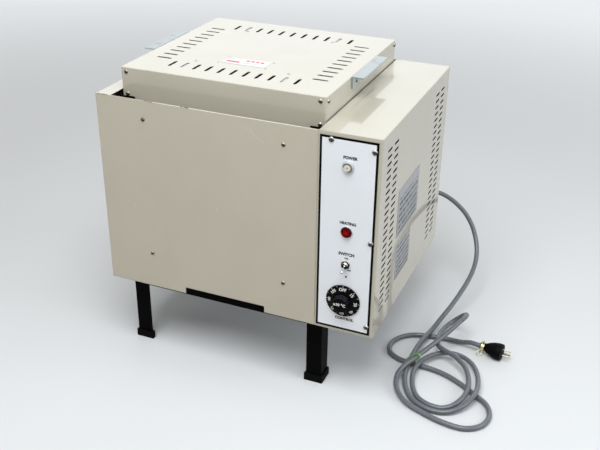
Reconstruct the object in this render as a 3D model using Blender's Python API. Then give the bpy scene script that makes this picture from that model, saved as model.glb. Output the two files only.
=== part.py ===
"""A small top-loading electric kiln, as an assembly of its separate pieces.

A brick chamber with wound heaters stands in an angle-iron frame. A double-skinned steel case with a
control section on its right hides the frame, and a slotted lid with two handles lifts off upward.
Sizes are in metres. X runs right along the front, Y from front to back and Z up from the floor.
"""

import math

import bmesh
import bpy
from mathutils import Vector

# Sheet metal, clearances and cutters
SHEET = 0.0012
TOUCH = 0.0003
OVERRUN = 0.004
RETURN_W = 0.014
BEND_R = 0.0025
BEND_STEPS = 3

# Angle-iron frame and its rubber boots
POST_FLANGE = 0.035
POST_T = 0.003
POST_DROP = 0.011
RAIL_DROP = 0.030
BOOT_WALL = 0.003
BOOT_FLOOR = 0.003
BOOT_H = 0.017

# Lid, which sets the width and depth of the frame
LID_W = 0.4395
LID_D = 0.414
LID_H = 0.072
LID_RISE = 0.047
LID_LIP = 0.010
LID_CORNER_R = 0.003
LID_CLEAR_SIDE = 0.0024
LID_CLEAR_FRONT = 0.0025
LID_CLEAR_BACK = 0.0055
LID_LIFT = 0.150
LID_BLOCK_H = 0.045
CORNER_FLANGE = 0.026
CORNER_T = 0.0015
CORNER_HEAD = 0.009
STRAP_W = 0.038
STRAP_T = 0.0015
STRAP_SPREAD = 0.2165
HANDLE_LENGTH = 0.150
HANDLE_FLANGE = 0.025
HANDLE_T = 0.003

# Slots in the lid: a row along each edge
LID_SLOT_LENGTH = 0.0355
LID_SLOT_W = 0.0068
LID_SLOT_COLUMNS = 11
LID_SLOT_ROWS = 10
LID_ROW_END_X = 0.08375
LID_ROW_END_Y = 0.0882
LID_ROW_INSET_FRONT = 0.060
LID_ROW_INSET_SIDE = 0.0480

# Case, whose depth follows the frame
CASE_CLEAR = 0.170
CASE_H = 0.422
AIR_FRONT = 0.036
AIR_LEFT = 0.031
PANEL_SEAM = 0.0015
NOTCH_LEFT = 0.182
NOTCH_W = 0.1835
NOTCH_H = 0.0145
CHANNEL_W = 0.024
CHANNEL_T = 0.0015
CHANNEL_INSET = 0.072
CHANNEL_FOOT = 0.055
CHANNEL_HEAD = 0.017

# Control section and its side vents
CONTROL_W = 0.1217
TRAY_FLANGE = 0.064
VENT_LENGTH = 0.027
VENT_W = 0.005
VENT_COUNT = 25
VENT_FIRST = 0.0425
VENT_LAST = 0.0363
VENT_EDGE = 0.048
VENT_COLUMN_STEP = 0.040
SLOT_END_STEPS = 2

# Control plate and the heights of its instruments above the case's lower edge
PLATE_T = 0.001
PLATE_INSET = 0.0025
PLATE_MARGIN = 0.0062
PLATE_RISE = 0.0057
PLATE_HEAD = 0.0073
CLEAR_LAMP_DROP = 0.0624
RED_LAMP_RISE = 0.2263
RED_LAMP_SHIFT = 0.0018
TOGGLE_RISE = 0.1556
TOGGLE_SHIFT = 0.0022
DIAL_RISE = 0.074

# Pilot lamps
BEZEL_R = 0.0125
BEZEL_T = 0.0016
BARREL_R = 0.0085
BARREL_L = 0.026
LENS_R = 0.0110
LENS_FACE_R = 0.0085
LENS_SIDE_H = 0.0060
LENS_DOME = 0.0022
BARREL_WALL = 0.002
LENS_STEM_L = 0.006
ROUND_STEPS = 20

# Toggle switch
BUSHING_R = 0.0059
BUSHING_OUT = 0.0085
BUSHING_BORE_R = 0.0044
BUSHING_BORE_L = 0.011
NUT_FLATS = 0.0165
NUT_T = 0.0028
SWITCH_W = 0.020
SWITCH_H = 0.032
SWITCH_L = 0.028
LEVER_CLEAR = 0.0008
LEVER_NECK_R = 0.0015
LEVER_TIP_R = 0.0030
LEVER_LENGTH = 0.021
LEVER_PIVOT_DEPTH = 0.0042
LEVER_TILT = math.radians(17.0)

# Dial and the regulator behind it
DIAL_R = 0.035
DIAL_EDGE_T = 0.0022
DIAL_SHOULDER_R = 0.0215
DIAL_SHOULDER_H = 0.0062
DIAL_GAP = 0.0009
KNOB_R = 0.0164
KNOB_TOP_R = 0.0142
KNOB_H = 0.020
KNOB_EDGE = 0.0012
KNOB_FLUTES = 12
KNOB_FLUTE_DEPTH = 0.0010
SHAFT_R = 0.003
SHAFT_CLEAR = 0.00005
REGULATOR_NECK_R = 0.0048
REGULATOR_W = 0.046
REGULATOR_H = 0.050
REGULATOR_L = 0.040
HOLE_CLEAR = 0.0003

# Brick chamber
BRICK_T = 0.065
FLOOR_BRICK_T = 0.076
BLANKET_T = 0.033
SHELL_T = 0.0008
GROOVE_H = 0.011
GROOVE_DEPTH = 0.012
GROOVE_COUNT = 6
GROOVE_MARGIN = 0.0468
HEATER_R = 0.004
HEATER_BEND_R = 0.008
HEATER_TAIL_OUT = 0.006
HEATER_SPREAD = 0.018
STEP_CLEAR = 0.003
STRIP_W = 0.030
STRIP_T = 0.018
STRIP_MARGIN = 0.020

# Mains cord: the diameter, its exit and the coil that lies on the floor
CORD_D = 0.011
CORD_SPACING = 0.024
CORD_EXIT_INSET = 0.0747
CORD_EXIT_RISE = 0.082
GLAND_R = 0.0125
GLAND_TIP_R = 0.0078
GLAND_OUT = 0.034
GLAND_IN = 0.008
GLAND_WAIST_R = 0.0095
COIL_X = 0.720
COIL_Y = 0.144
COIL_REACH_X = 0.0805
COIL_REACH_Y = 0.109
COIL_TIGHTEN_X = 0.018
COIL_TIGHTEN_Y = 0.023
COIL_SHIFT_Y = 0.0095
COIL_BULGE = 0.012
COIL_BULGE_TURN = math.radians(42.0)
COIL_TURNS = 1.66
COIL_LOOP_POINTS = 24
COIL_RIDE = 0.0119
COIL_EXIT_RISE = 0.012
COIL_DOWN_SHARE = 0.16
COIL_UP_SHARE = 0.28
COIL_EXIT_SHARE = 1.4
COIL_EXIT_SPAN_SHARE = 0.30
CORD_LIE = 0.006

# Plug on the cord's end, and the wire tie round the bundle
PLUG_TAIL_R = 0.0085
PLUG_TAIL_L = 0.012
PLUG_R = 0.0185
PLUG_L = 0.050
PLUG_RIM_L = 0.010
PLUG_YAW = math.radians(-8.0)
PLUG_X = 0.7695
PLUG_Y = 0.282
PLUG_LIFT = 0.0005
CONTACT_DISC_R = 0.0125
CONTACT_DISC_T = 0.002
BLADE_W = 0.0063
BLADE_T = 0.0016
BLADE_L = 0.018
BLADE_SPREAD = 0.0127
BLADE_THIRD_DROP = 0.0075
CLAMP_T = 0.0009
CLAMP_W = 0.007
CLAMP_EAR = 0.006
TIE_R = 0.0009
TIE_STEPS = 10
TIE_CLEAR = 0.0012
TIE_Y = 0.1635

# Route of the cord from its gland down to the coil, after the stretch that leaves the gland
DROP_ROUTE = (
    (0.5550, 0.5240, 0.2520), (0.5650, 0.5400, 0.2500), (0.5820, 0.5520, 0.2450),
    (0.6030, 0.5580, 0.2350), (0.6270, 0.5590, 0.2200), (0.6530, 0.5570, 0.1970),
    (0.6750, 0.5490, 0.1660), (0.6920, 0.5260, 0.1340), (0.6990, 0.4960, 0.1080),
    (0.6970, 0.4580, 0.0860), (0.6880, 0.4160, 0.0660), (0.6760, 0.3740, 0.0470),
    (0.6630, 0.3350, 0.0320), (0.6530, 0.2980, 0.0220), (0.6450, 0.2600, 0.0195),
    (0.6400, 0.2220, 0.0190),
)

# Route of the cord from the coil up and over its fold, round the front lobe, under the coil and round
# the left loop to the plug
LEAD_ROUTE = (
    (0.6900, 0.2230, 0.0305), (0.6780, 0.2500, 0.0280), (0.6740, 0.2840, 0.0225),
    (0.6780, 0.3160, 0.0210), (0.6855, 0.3311, 0.0250), (0.6970, 0.3401, 0.0344),
    (0.7093, 0.3407, 0.0466), (0.7192, 0.3326, 0.0583), (0.7241, 0.3181, 0.0664),
    (0.7225, 0.3010, 0.0688), (0.7150, 0.2800, 0.0670), (0.7040, 0.2570, 0.0600),
    (0.6910, 0.2340, 0.0510), (0.6775, 0.2105, 0.0435), (0.6510, 0.1590, 0.0325),
    (0.6370, 0.1300, 0.0283), (0.6300, 0.1000, 0.0200), (0.6410, 0.0660, 0.0120),
    (0.6700, 0.0370, 0.0080), (0.7140, 0.0190, 0.0060), (0.7570, 0.0070, 0.0060),
    (0.7990, 0.0060, 0.0060), (0.8290, 0.0270, 0.0060), (0.8380, 0.0620, 0.0060),
    (0.8250, 0.0960, 0.0060), (0.7960, 0.1190, 0.0060), (0.7600, 0.1430, 0.0060),
    (0.7250, 0.1610, 0.0060), (0.6900, 0.1700, 0.0060), (0.6500, 0.1730, 0.0060),
    (0.6120, 0.1780, 0.0060), (0.5850, 0.1960, 0.0060), (0.5770, 0.2260, 0.0060),
    (0.5870, 0.2560, 0.0060), (0.6120, 0.2800, 0.0060), (0.6500, 0.2910, 0.0060),
    (0.6900, 0.2950, 0.0065), (0.7220, 0.2910, 0.0100),
)

# Places worked out from the sizes above
FRAME_LEFT = AIR_LEFT
FRAME_RIGHT = FRAME_LEFT + LID_W + 2 * (LID_CLEAR_SIDE + POST_T)
FRAME_FRONT = AIR_FRONT
FRAME_BACK = FRAME_FRONT + LID_D + LID_CLEAR_FRONT + LID_CLEAR_BACK + 2 * POST_T
LID_LEFT = FRAME_LEFT + POST_T + LID_CLEAR_SIDE
LID_RIGHT = LID_LEFT + LID_W
LID_FRONT = FRAME_FRONT + POST_T + LID_CLEAR_FRONT
LID_BACK = LID_FRONT + LID_D
LID_MID_X = (LID_LEFT + LID_RIGHT) / 2
LID_MID_Y = (LID_FRONT + LID_BACK) / 2
CONTROL_LEFT = FRAME_RIGHT - POST_T
CASE_W = CONTROL_LEFT + CONTROL_W
LEFT_FLANGE = AIR_LEFT + POST_T
CASE_D = FRAME_BACK + TOUCH + SHEET
CASE_BOTTOM = CASE_CLEAR
CASE_TOP = CASE_BOTTOM + CASE_H
POST_TOP = CASE_TOP - POST_DROP
LID_TOP = CASE_TOP + LID_RISE
LID_BOTTOM = LID_TOP - LID_H
RAIL_BOTTOM = CASE_BOTTOM - RAIL_DROP
RAIL_TOP = RAIL_BOTTOM + POST_FLANGE
CORE_LEFT = FRAME_LEFT + POST_T + TOUCH
CORE_RIGHT = FRAME_RIGHT - POST_T - TOUCH
CORE_FRONT = FRAME_FRONT + POST_T + TOUCH
CORE_BACK = FRAME_BACK - POST_T - TOUCH
CORE_BOTTOM = RAIL_TOP + TOUCH + SHEET + TOUCH
WALL_TOP = LID_BOTTOM - TOUCH
WALL_BOTTOM = CORE_BOTTOM + FLOOR_BRICK_T + TOUCH
BRICK_INSET = SHELL_T + TOUCH + BLANKET_T + TOUCH
BRICKS_LEFT = CORE_LEFT + BRICK_INSET
BRICKS_RIGHT = CORE_RIGHT - BRICK_INSET
BRICKS_FRONT = CORE_FRONT + BRICK_INSET
BRICKS_BACK = CORE_BACK - BRICK_INSET
CHAMBER_LEFT = BRICKS_LEFT + BRICK_T
CHAMBER_RIGHT = BRICKS_RIGHT - BRICK_T
CHAMBER_FRONT = BRICKS_FRONT + BRICK_T
CHAMBER_BACK = BRICKS_BACK - BRICK_T
CHAMBER_MID_Y = (CHAMBER_FRONT + CHAMBER_BACK) / 2
PARTITION_LEFT = FRAME_RIGHT + TOUCH
PARTITION_RIGHT = PARTITION_LEFT + SHEET
RETURN_FRONT = SHEET + TOUCH
RETURN_BACK = CASE_D - SHEET - TOUCH
PLATE_LEFT = CONTROL_LEFT + PLATE_INSET
PLATE_W = CONTROL_W - PLATE_INSET - PLATE_MARGIN
PLATE_H = CASE_H - PLATE_RISE - PLATE_HEAD
CLEAR_LAMP_RISE = CASE_H - CLEAR_LAMP_DROP
PLATE_MID_X = PLATE_LEFT + PLATE_W / 2
PLATE_FACE = -TOUCH - PLATE_T
STRIP_LEFT = PARTITION_RIGHT + TOUCH
CORD_R = CORD_D / 2
CORD_EXIT_X = CONTROL_LEFT + CORD_EXIT_INSET
CORD_EXIT_Z = CASE_BOTTOM + CORD_EXIT_RISE
LENS_STEM_R = BARREL_R - BARREL_WALL
LEVER_BALL_R = BUSHING_BORE_R - LEVER_CLEAR
GROOVE_PITCH = (WALL_TOP - WALL_BOTTOM - 2 * GROOVE_MARGIN) / (GROOVE_COUNT - 1)
GROOVES = [WALL_BOTTOM + GROOVE_MARGIN + GROOVE_PITCH * level for level in range(GROOVE_COUNT)]
TAIL_HOLE_R = HEATER_BEND_R - TOUCH
STEP_GROOVE_W = 2 * (HEATER_BEND_R + STEP_CLEAR)
VENT_PITCH = (CASE_H - VENT_FIRST - VENT_LAST) / (VENT_COUNT - 1)
LID_SLOT_PITCH_X = (LID_W - 2 * LID_ROW_END_X) / (LID_SLOT_COLUMNS - 1)
LID_SLOT_PITCH_Y = (LID_D - 2 * LID_ROW_END_Y) / (LID_SLOT_ROWS - 1)
TOGGLE_X = PLATE_MID_X + TOGGLE_SHIFT
LEVER_PIVOT_Y = PLATE_FACE - BUSHING_OUT + LEVER_PIVOT_DEPTH
LEVER_REACH = LEVER_LENGTH * math.cos(LEVER_TILT) + LEVER_TIP_R / 2 * math.sin(LEVER_TILT)
REACH_FRONT = min(LEVER_PIVOT_Y - LEVER_REACH, PLATE_FACE - DIAL_GAP - KNOB_H)
REACH_BACK = CASE_D + GLAND_OUT

# Finishes: base colour, roughness and metallic value
BEIGE_PAINT = ((0.60, 0.57, 0.48), 0.35, 0.0)
WHITE_PAINT = ((0.76, 0.80, 0.84), 0.35, 0.0)
BLACK_PAINT = ((0.015, 0.015, 0.017), 0.45, 0.0)
GALVANISED = ((0.55, 0.56, 0.57), 0.45, 0.9)
ALUMINIUM = ((0.72, 0.76, 0.78), 0.38, 1.0)
CHROME = ((0.80, 0.80, 0.80), 0.15, 1.0)
BRASS = ((0.75, 0.60, 0.28), 0.30, 1.0)
RUBBER = ((0.02, 0.02, 0.02), 0.75, 0.0)
CORD_GREY = ((0.17, 0.18, 0.19), 0.50, 0.0)
FIRE_BRICK = ((0.72, 0.66, 0.55), 0.95, 0.0)
BLANKET_WHITE = ((0.80, 0.80, 0.78), 1.0, 0.0)
HEATER_WIRE = ((0.25, 0.24, 0.23), 0.60, 0.8)
PORCELAIN = ((0.80, 0.78, 0.72), 0.30, 0.0)
CLEAR_LENS = ((0.85, 0.87, 0.88), 0.10, 0.0)
RED_LENS = ((0.30, 0.0, 0.005), 0.12, 0.0)
BLACK_PLASTIC = ((0.012, 0.012, 0.013), 0.40, 0.0)
GREEN_WIRE = ((0.10, 0.45, 0.05), 0.40, 0.0)


def clear_scene():
    for leftover in list(bpy.data.objects):
        bpy.data.objects.remove(leftover, do_unlink=True)


def finish_material(name, finish):
    colour, roughness, metallic = finish
    made = bpy.data.materials.new(name)
    made.use_nodes = True
    shader = made.node_tree.nodes["Principled BSDF"]
    shader.inputs["Base Color"].default_value = (*colour, 1.0)
    shader.inputs["Roughness"].default_value = roughness
    shader.inputs["Metallic"].default_value = metallic
    return made


def place(name, data, finish, location=(0, 0, 0), rotation=(0, 0, 0)):
    """Put mesh or curve data in the scene as a named piece, under the kiln's own origin."""
    piece = bpy.data.objects.new(name, data)
    bpy.context.scene.collection.objects.link(piece)
    piece.parent = KILN
    piece.location = location
    piece.rotation_euler = rotation
    if finish:
        data.materials.append(finish_material(name, finish))
    return piece


def to_mesh(name, bm, smooth_angle=None):
    bmesh.ops.recalc_face_normals(bm, faces=bm.faces)
    data = bpy.data.meshes.new(name)
    bm.to_mesh(data)
    bm.free()
    if smooth_angle:
        data.shade_smooth()
        data.set_sharp_from_angle(angle=smooth_angle)
    return data


def loft(bm, rings, closed=False):
    """Skin a row of rings that have the same number of points, with caps unless the row closes."""
    rows = [[bm.verts.new(point) for point in ring] for ring in rings]
    pairs = list(zip(rows, rows[1:]))
    if closed:
        pairs.append((rows[-1], rows[0]))
    else:
        bm.faces.new(list(reversed(rows[0])))
        bm.faces.new(rows[-1])
    for lower, upper in pairs:
        count = len(lower)
        for index in range(count):
            after = (index + 1) % count
            bm.faces.new((lower[index], lower[after], upper[after], upper[index]))


def lift(plane, u, v, w):
    """Turn a point of an outline and its depth into a point in space."""
    if plane == "xy":
        return (u, v, w)
    if plane == "xz":
        return (u, w, v)
    return (w, u, v)


def prism(bm, outline, low, high, plane="xy"):
    loft(bm, [[lift(plane, u, v, w) for u, v in outline] for w in (low, high)])


def rectangle(left, bottom, right, top):
    return [(left, bottom), (right, bottom), (right, top), (left, top)]


def round_rectangle(left, bottom, right, top, radius, steps):
    """A rectangle whose corners are arcs, from the lower left one round."""
    centres = (
        (left + radius, bottom + radius, math.pi),
        (right - radius, bottom + radius, 1.5 * math.pi),
        (right - radius, top - radius, 0.0),
        (left + radius, top - radius, 0.5 * math.pi),
    )
    points = []
    for x, y, start in centres:
        for step in range(steps + 1):
            angle = start + 0.5 * math.pi * step / steps
            points.append((x + radius * math.cos(angle), y + radius * math.sin(angle)))
    return points


def slot_outline(u, v, length, width, along_u):
    """A slot with round ends, centred on u and v."""
    radius = width / 2
    reach = length / 2 - radius
    points = []
    for side in (0, 1):
        for step in range(SLOT_END_STEPS + 1):
            angle = -math.pi / 2 + math.pi * (step / SLOT_END_STEPS + side)
            offset = reach if side == 0 else -reach
            along = offset + radius * math.cos(angle)
            across = radius * math.sin(angle)
            points.append((u + along, v + across) if along_u else (u - across, v + along))
    return points


def circle(radius, height, steps=ROUND_STEPS, x=0.0, y=0.0):
    turns = [2 * math.pi * step / steps for step in range(steps)]
    return [(x + radius * math.cos(turn), y + radius * math.sin(turn), height) for turn in turns]


def turned(name, profile, finish, location, rotation, steps=ROUND_STEPS, closed=False):
    """Revolve a profile of radius and height about the piece's own Z."""
    bm = bmesh.new()
    loft(bm, [circle(radius, height, steps) for radius, height in profile], closed)
    return place(name, to_mesh(name, bm, math.radians(35)), finish, location, rotation)


def solid(name, outline, low, high, finish, plane="xy", location=(0, 0, 0), rotation=(0, 0, 0)):
    bm = bmesh.new()
    prism(bm, outline, low, high, plane)
    return place(name, to_mesh(name, bm), finish, location, rotation)


def block(name, low, high, finish):
    """A plain box between two corners."""
    return solid(name, rectangle(low[0], low[1], high[0], high[1]), low[2], high[2], finish)


def helper(name, bm):
    """A body that only cuts or joins, so it isn't a piece."""
    body = place(name, to_mesh(name, bm), None)
    body.hide_render = True
    body.display_type = "WIRE"
    return body


def combine(piece, other, operation):
    change = piece.modifiers.new(other.name, "BOOLEAN")
    change.operation = operation
    change.solver = "EXACT"
    change.object = other


def cut(piece, other):
    combine(piece, other, "DIFFERENCE")


def fuse(piece, other):
    combine(piece, other, "UNION")


def drill(name, centres, radius, low, high, plane, steps=ROUND_STEPS):
    """Round cutters along one axis, at places in the plane across it."""
    bm = bmesh.new()
    for u, v in centres:
        outline = [(u + x, v + y) for x, y, _ in circle(radius, 0, steps)]
        prism(bm, outline, low, high, plane)
    return helper(name, bm)


def tube(name, points, radius, resolution, finish, cyclic=False):
    """A round tube along points, with filled ends."""
    data = bpy.data.curves.new(name, "CURVE")
    data.dimensions = "3D"
    data.bevel_depth = radius
    data.bevel_resolution = resolution
    data.use_fill_caps = not cyclic
    spline = data.splines.new("POLY")
    spline.points.add(len(points) - 1)
    for spot, point in zip(spline.points, points):
        spot.co = (*point, 1.0)
    spline.use_cyclic_u = cyclic
    return place(name, data, finish)


def smooth_route(route, spacing):
    """Points at even steps along a smooth curve, between a straight first and last stretch."""
    knots = [Vector(point) for point in route]
    fine = []
    for before, start, end, after in zip(knots, knots[1:], knots[2:], knots[3:]):
        for step in range(20):
            t = step / 20
            bend = (2 * start + (end - before) * t + (2 * before - 5 * start + 4 * end - after) * t**2
                    + (3 * start - before - 3 * end + after) * t**3)
            fine.append(bend / 2)
    fine.append(knots[-2])
    lengths = [0.0]
    for start, end in zip(fine, fine[1:]):
        lengths.append(lengths[-1] + (end - start).length)
    count = max(2, round(lengths[-1] / spacing))
    points = [knots[0]]
    index = 0
    for step in range(count + 1):
        target = lengths[-1] * step / count
        while index < len(fine) - 2 and lengths[index + 1] < target:
            index += 1
        share = (target - lengths[index]) / (lengths[index + 1] - lengths[index])
        points.append(fine[index].lerp(fine[index + 1], min(share, 1.0)))
    return points + [knots[-1]]


def route_length(points):
    return sum((end - start).length for start, end in zip(points, points[1:]))


# Frame: four corner posts in rubber boots, and the two rails that carry the floor

def angle_outline(flange, thickness):
    inner = (thickness, thickness)
    return [(0, 0), (flange, 0), (flange, thickness), inner, (thickness, flange), (0, flange)]


def make_posts():
    corners = (
        ("front_left", FRAME_LEFT, FRAME_FRONT, 0.0),
        ("front_right", FRAME_RIGHT, FRAME_FRONT, math.pi / 2),
        ("back_right", FRAME_RIGHT, FRAME_BACK, math.pi),
        ("back_left", FRAME_LEFT, FRAME_BACK, -math.pi / 2),
    )
    outline = angle_outline(POST_FLANGE, POST_T)
    for corner, x, y, turn in corners:
        place_at = ((x, y, 0), (0, 0, turn))
        solid("leg_post_" + corner, outline, BOOT_FLOOR + TOUCH, POST_TOP, BLACK_PAINT, "xy", *place_at)
        place("foot_boot_" + corner, boot_mesh("foot_boot_" + corner), RUBBER, *place_at)


def offset_angle(grow):
    """The outline of a post's foot, grown by a distance on every side."""
    far = POST_FLANGE + grow
    inner = POST_T + grow
    return [(-grow, -grow), (far, -grow), (far, inner), (inner, inner), (inner, far), (-grow, far)]


def boot_mesh(name):
    """A boot that cups the end of a post: outside, rim, inside and floor."""
    outside = offset_angle(TOUCH + BOOT_WALL)
    inside = offset_angle(TOUCH)
    rings = [(outside, 0), (outside, BOOT_H), (inside, BOOT_H), (inside, BOOT_FLOOR)]
    bm = bmesh.new()
    loft(bm, [[(x, y, height) for x, y in outline] for outline, height in rings])
    return to_mesh(name, bm)


def make_rails():
    """Angles between the posts, with the flat leg on top and turned inward."""
    leg = POST_FLANGE
    front = [
        (CORE_FRONT, RAIL_BOTTOM), (CORE_FRONT + POST_T, RAIL_BOTTOM),
        (CORE_FRONT + POST_T, RAIL_TOP - POST_T), (CORE_FRONT + leg, RAIL_TOP - POST_T),
        (CORE_FRONT + leg, RAIL_TOP), (CORE_FRONT, RAIL_TOP),
    ]
    mirror = CORE_FRONT + CORE_BACK
    back = [(mirror - y, z) for y, z in front]
    solid("front_rail", front, CORE_LEFT, CORE_RIGHT, BLACK_PAINT, "yz")
    solid("back_rail", back, CORE_LEFT, CORE_RIGHT, BLACK_PAINT, "yz")
    plate_low = (CORE_LEFT, CORE_FRONT, RAIL_TOP + TOUCH)
    plate_high = (CORE_RIGHT, CORE_BACK, RAIL_TOP + TOUCH + SHEET)
    block("base_plate", plate_low, plate_high, GALVANISED)


# Chamber: grooved fire bricks, the blanket round them and the sheet that holds it in

def heater_height(level):
    return GROOVES[level] + TOUCH + HEATER_R


def tail_places():
    """Where the heaters' tails go through the right wall, in Y and Z."""
    return [(CHAMBER_MID_Y - HEATER_SPREAD, heater_height(level)) for level in range(GROOVE_COUNT)]


def make_tail_holes():
    low = CHAMBER_RIGHT + GROOVE_DEPTH / 2
    high = STRIP_LEFT + STRIP_T + OVERRUN
    return drill("tail_hole_cutter", tail_places(), TAIL_HOLE_R, low, high, "yz", 8)


def grooved_profile(face, back):
    """Section of a wall: face is the coordinate of its hot side, back that of its cold side."""
    inward = 1 if back > face else -1
    points = [(back, WALL_BOTTOM), (face, WALL_BOTTOM)]
    for groove in GROOVES:
        deep = face + inward * GROOVE_DEPTH
        points += [(face, groove), (deep, groove), (deep, groove + GROOVE_H), (face, groove + GROOVE_H)]
    return points + [(face, WALL_TOP), (back, WALL_TOP)]


def make_bricks(tail_holes):
    floor_low = (BRICKS_LEFT, BRICKS_FRONT, CORE_BOTTOM)
    block("floor_brick", floor_low, (BRICKS_RIGHT, BRICKS_BACK, WALL_BOTTOM - TOUCH), FIRE_BRICK)
    left = grooved_profile(CHAMBER_LEFT, BRICKS_LEFT)
    right = grooved_profile(CHAMBER_RIGHT, BRICKS_RIGHT)
    solid("brick_left", left, BRICKS_FRONT, BRICKS_BACK, FIRE_BRICK, "xz")
    right_wall = solid("brick_right", right, BRICKS_FRONT, BRICKS_BACK, FIRE_BRICK, "xz")
    span = (CHAMBER_LEFT + TOUCH, CHAMBER_RIGHT - TOUCH)
    solid("brick_front", grooved_profile(CHAMBER_FRONT, BRICKS_FRONT), *span, FIRE_BRICK, "yz")
    solid("brick_back", grooved_profile(CHAMBER_BACK, BRICKS_BACK), *span, FIRE_BRICK, "yz")
    bm = bmesh.new()
    step_mid = CHAMBER_MID_Y + HEATER_SPREAD
    for lower, upper in zip(GROOVES[::2], GROOVES[1::2]):
        outline = rectangle(step_mid - STEP_GROOVE_W / 2, lower + TOUCH, step_mid + STEP_GROOVE_W / 2,
                            upper + GROOVE_H - TOUCH)
        prism(bm, outline, CHAMBER_RIGHT - OVERRUN, CHAMBER_RIGHT + GROOVE_DEPTH, "yz")
    cut(right_wall, helper("heater_step_cutter", bm))
    cut(right_wall, tail_holes)


def hollow_box(name, outer, wall, low, high, finish):
    """Four upright walls in one piece, open above and below."""
    left, front, right, back = outer
    outside = rectangle(left, front, right, back)
    inside = rectangle(left + wall, front + wall, right - wall, back - wall)
    rings = [(outside, low), (outside, high), (inside, high), (inside, low)]
    bm = bmesh.new()
    loft(bm, [[(x, y, height) for x, y in outline] for outline, height in rings], closed=True)
    return place(name, to_mesh(name, bm), finish)


def make_jacket(tail_holes):
    shell_outer = (CORE_LEFT, CORE_FRONT, CORE_RIGHT, CORE_BACK)
    gap = SHELL_T + TOUCH
    blanket_outer = (CORE_LEFT + gap, CORE_FRONT + gap, CORE_RIGHT - gap, CORE_BACK - gap)
    shell = hollow_box("inner_shell", shell_outer, SHELL_T, CORE_BOTTOM, WALL_TOP, GALVANISED)
    blanket = hollow_box("insulation_blanket", blanket_outer, BLANKET_T, CORE_BOTTOM, WALL_TOP,
                         BLANKET_WHITE)
    cut(shell, tail_holes)
    cut(blanket, tail_holes)


def rounded_path(corners, radius, steps):
    """A path through corners, each turned by an arc of one radius."""
    points = [Vector(corners[0])]
    for before, corner, after in zip(corners, corners[1:], corners[2:]):
        spot = Vector(corner)
        back = (Vector(before) - spot).normalized()
        ahead = (Vector(after) - spot).normalized()
        centre = spot + radius * (back + ahead)
        for step in range(steps + 1):
            angle = 0.5 * math.pi * step / steps
            points.append(centre - radius * (math.cos(angle) * ahead + math.sin(angle) * back))
    points.append(Vector(corners[-1]))
    return points


def heater_route(level):
    """Round the chamber in one groove, up a step in the right wall and back round in the next."""
    reach = GROOVE_DEPTH - HEATER_R - TOUCH
    left, right = CHAMBER_LEFT - reach, CHAMBER_RIGHT + reach
    front, back = CHAMBER_FRONT - reach, CHAMBER_BACK + reach
    low, high = heater_height(level), heater_height(level + 1)
    tail_y = CHAMBER_MID_Y - HEATER_SPREAD
    step_y = CHAMBER_MID_Y + HEATER_SPREAD
    tail_x = STRIP_LEFT + STRIP_T + HEATER_TAIL_OUT
    lower = [(tail_x, tail_y, low), (right, tail_y, low), (right, front, low), (left, front, low),
             (left, back, low), (right, back, low), (right, step_y, low)]
    upper = [(x, y, high) for x, y, _ in lower]
    return lower + list(reversed(upper))


def make_heaters():
    for level, part in enumerate(("lower", "middle", "upper")):
        points = rounded_path(heater_route(2 * level), HEATER_BEND_R, 3)
        tube("heating_element_" + part, points, HEATER_R, 1, HEATER_WIRE)


def make_terminal_strip(tail_holes):
    low = heater_height(0) - STRIP_MARGIN
    high = heater_height(GROOVE_COUNT - 1) + STRIP_MARGIN
    middle = CHAMBER_MID_Y - HEATER_SPREAD
    strip = block("terminal_strip", (STRIP_LEFT, middle - STRIP_W / 2, low),
                  (STRIP_LEFT + STRIP_T, middle + STRIP_W / 2, high), PORCELAIN)
    cut(strip, tail_holes)


# Case: front, left and back panels, and the channels that hold the front panel

def make_front_panel():
    left, right = 0, CONTROL_LEFT - PANEL_SEAM
    notch_right = NOTCH_LEFT + NOTCH_W
    outline = [
        (left, CASE_BOTTOM), (NOTCH_LEFT, CASE_BOTTOM), (NOTCH_LEFT, CASE_BOTTOM + NOTCH_H),
        (notch_right, CASE_BOTTOM + NOTCH_H), (notch_right, CASE_BOTTOM), (right, CASE_BOTTOM),
        (right, CASE_TOP), (left, CASE_TOP),
    ]
    solid("front_panel", outline, 0, SHEET, BEIGE_PAINT, "xz")
    low = CASE_BOTTOM + CHANNEL_FOOT
    high = CASE_TOP - CHANNEL_HEAD
    for side, middle in (("left", FRAME_LEFT + CHANNEL_INSET), ("right", FRAME_RIGHT - CHANNEL_INSET)):
        solid("front_channel_" + side, channel_outline(middle), low, high, GALVANISED)


def channel_outline(middle):
    """Plan of a channel whose web lies behind the panel and whose legs reach the inner shell."""
    left, right = middle - CHANNEL_W / 2, middle + CHANNEL_W / 2
    front, back = RETURN_FRONT, CORE_FRONT - TOUCH
    return [
        (left, front), (right, front), (right, back), (right - CHANNEL_T, back),
        (right - CHANNEL_T, front + CHANNEL_T), (left + CHANNEL_T, front + CHANNEL_T),
        (left + CHANNEL_T, back), (left, back),
    ]


def wrap_profile(outer, inward, flange):
    """Section of a side sheet that bends into a flange on top, with a round bend."""
    inner = outer + inward * SHEET
    tip = outer + inward * flange
    points = [(outer, CASE_BOTTOM)]
    for step in range(BEND_STEPS + 1):
        angle = 0.5 * math.pi * step / BEND_STEPS
        x = outer + inward * BEND_R * (1 - math.cos(angle))
        points.append((x, CASE_TOP - BEND_R * (1 - math.sin(angle))))
    points += [(tip, CASE_TOP), (tip, CASE_TOP - SHEET), (inner, CASE_TOP - SHEET), (inner, CASE_BOTTOM)]
    return points


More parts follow.
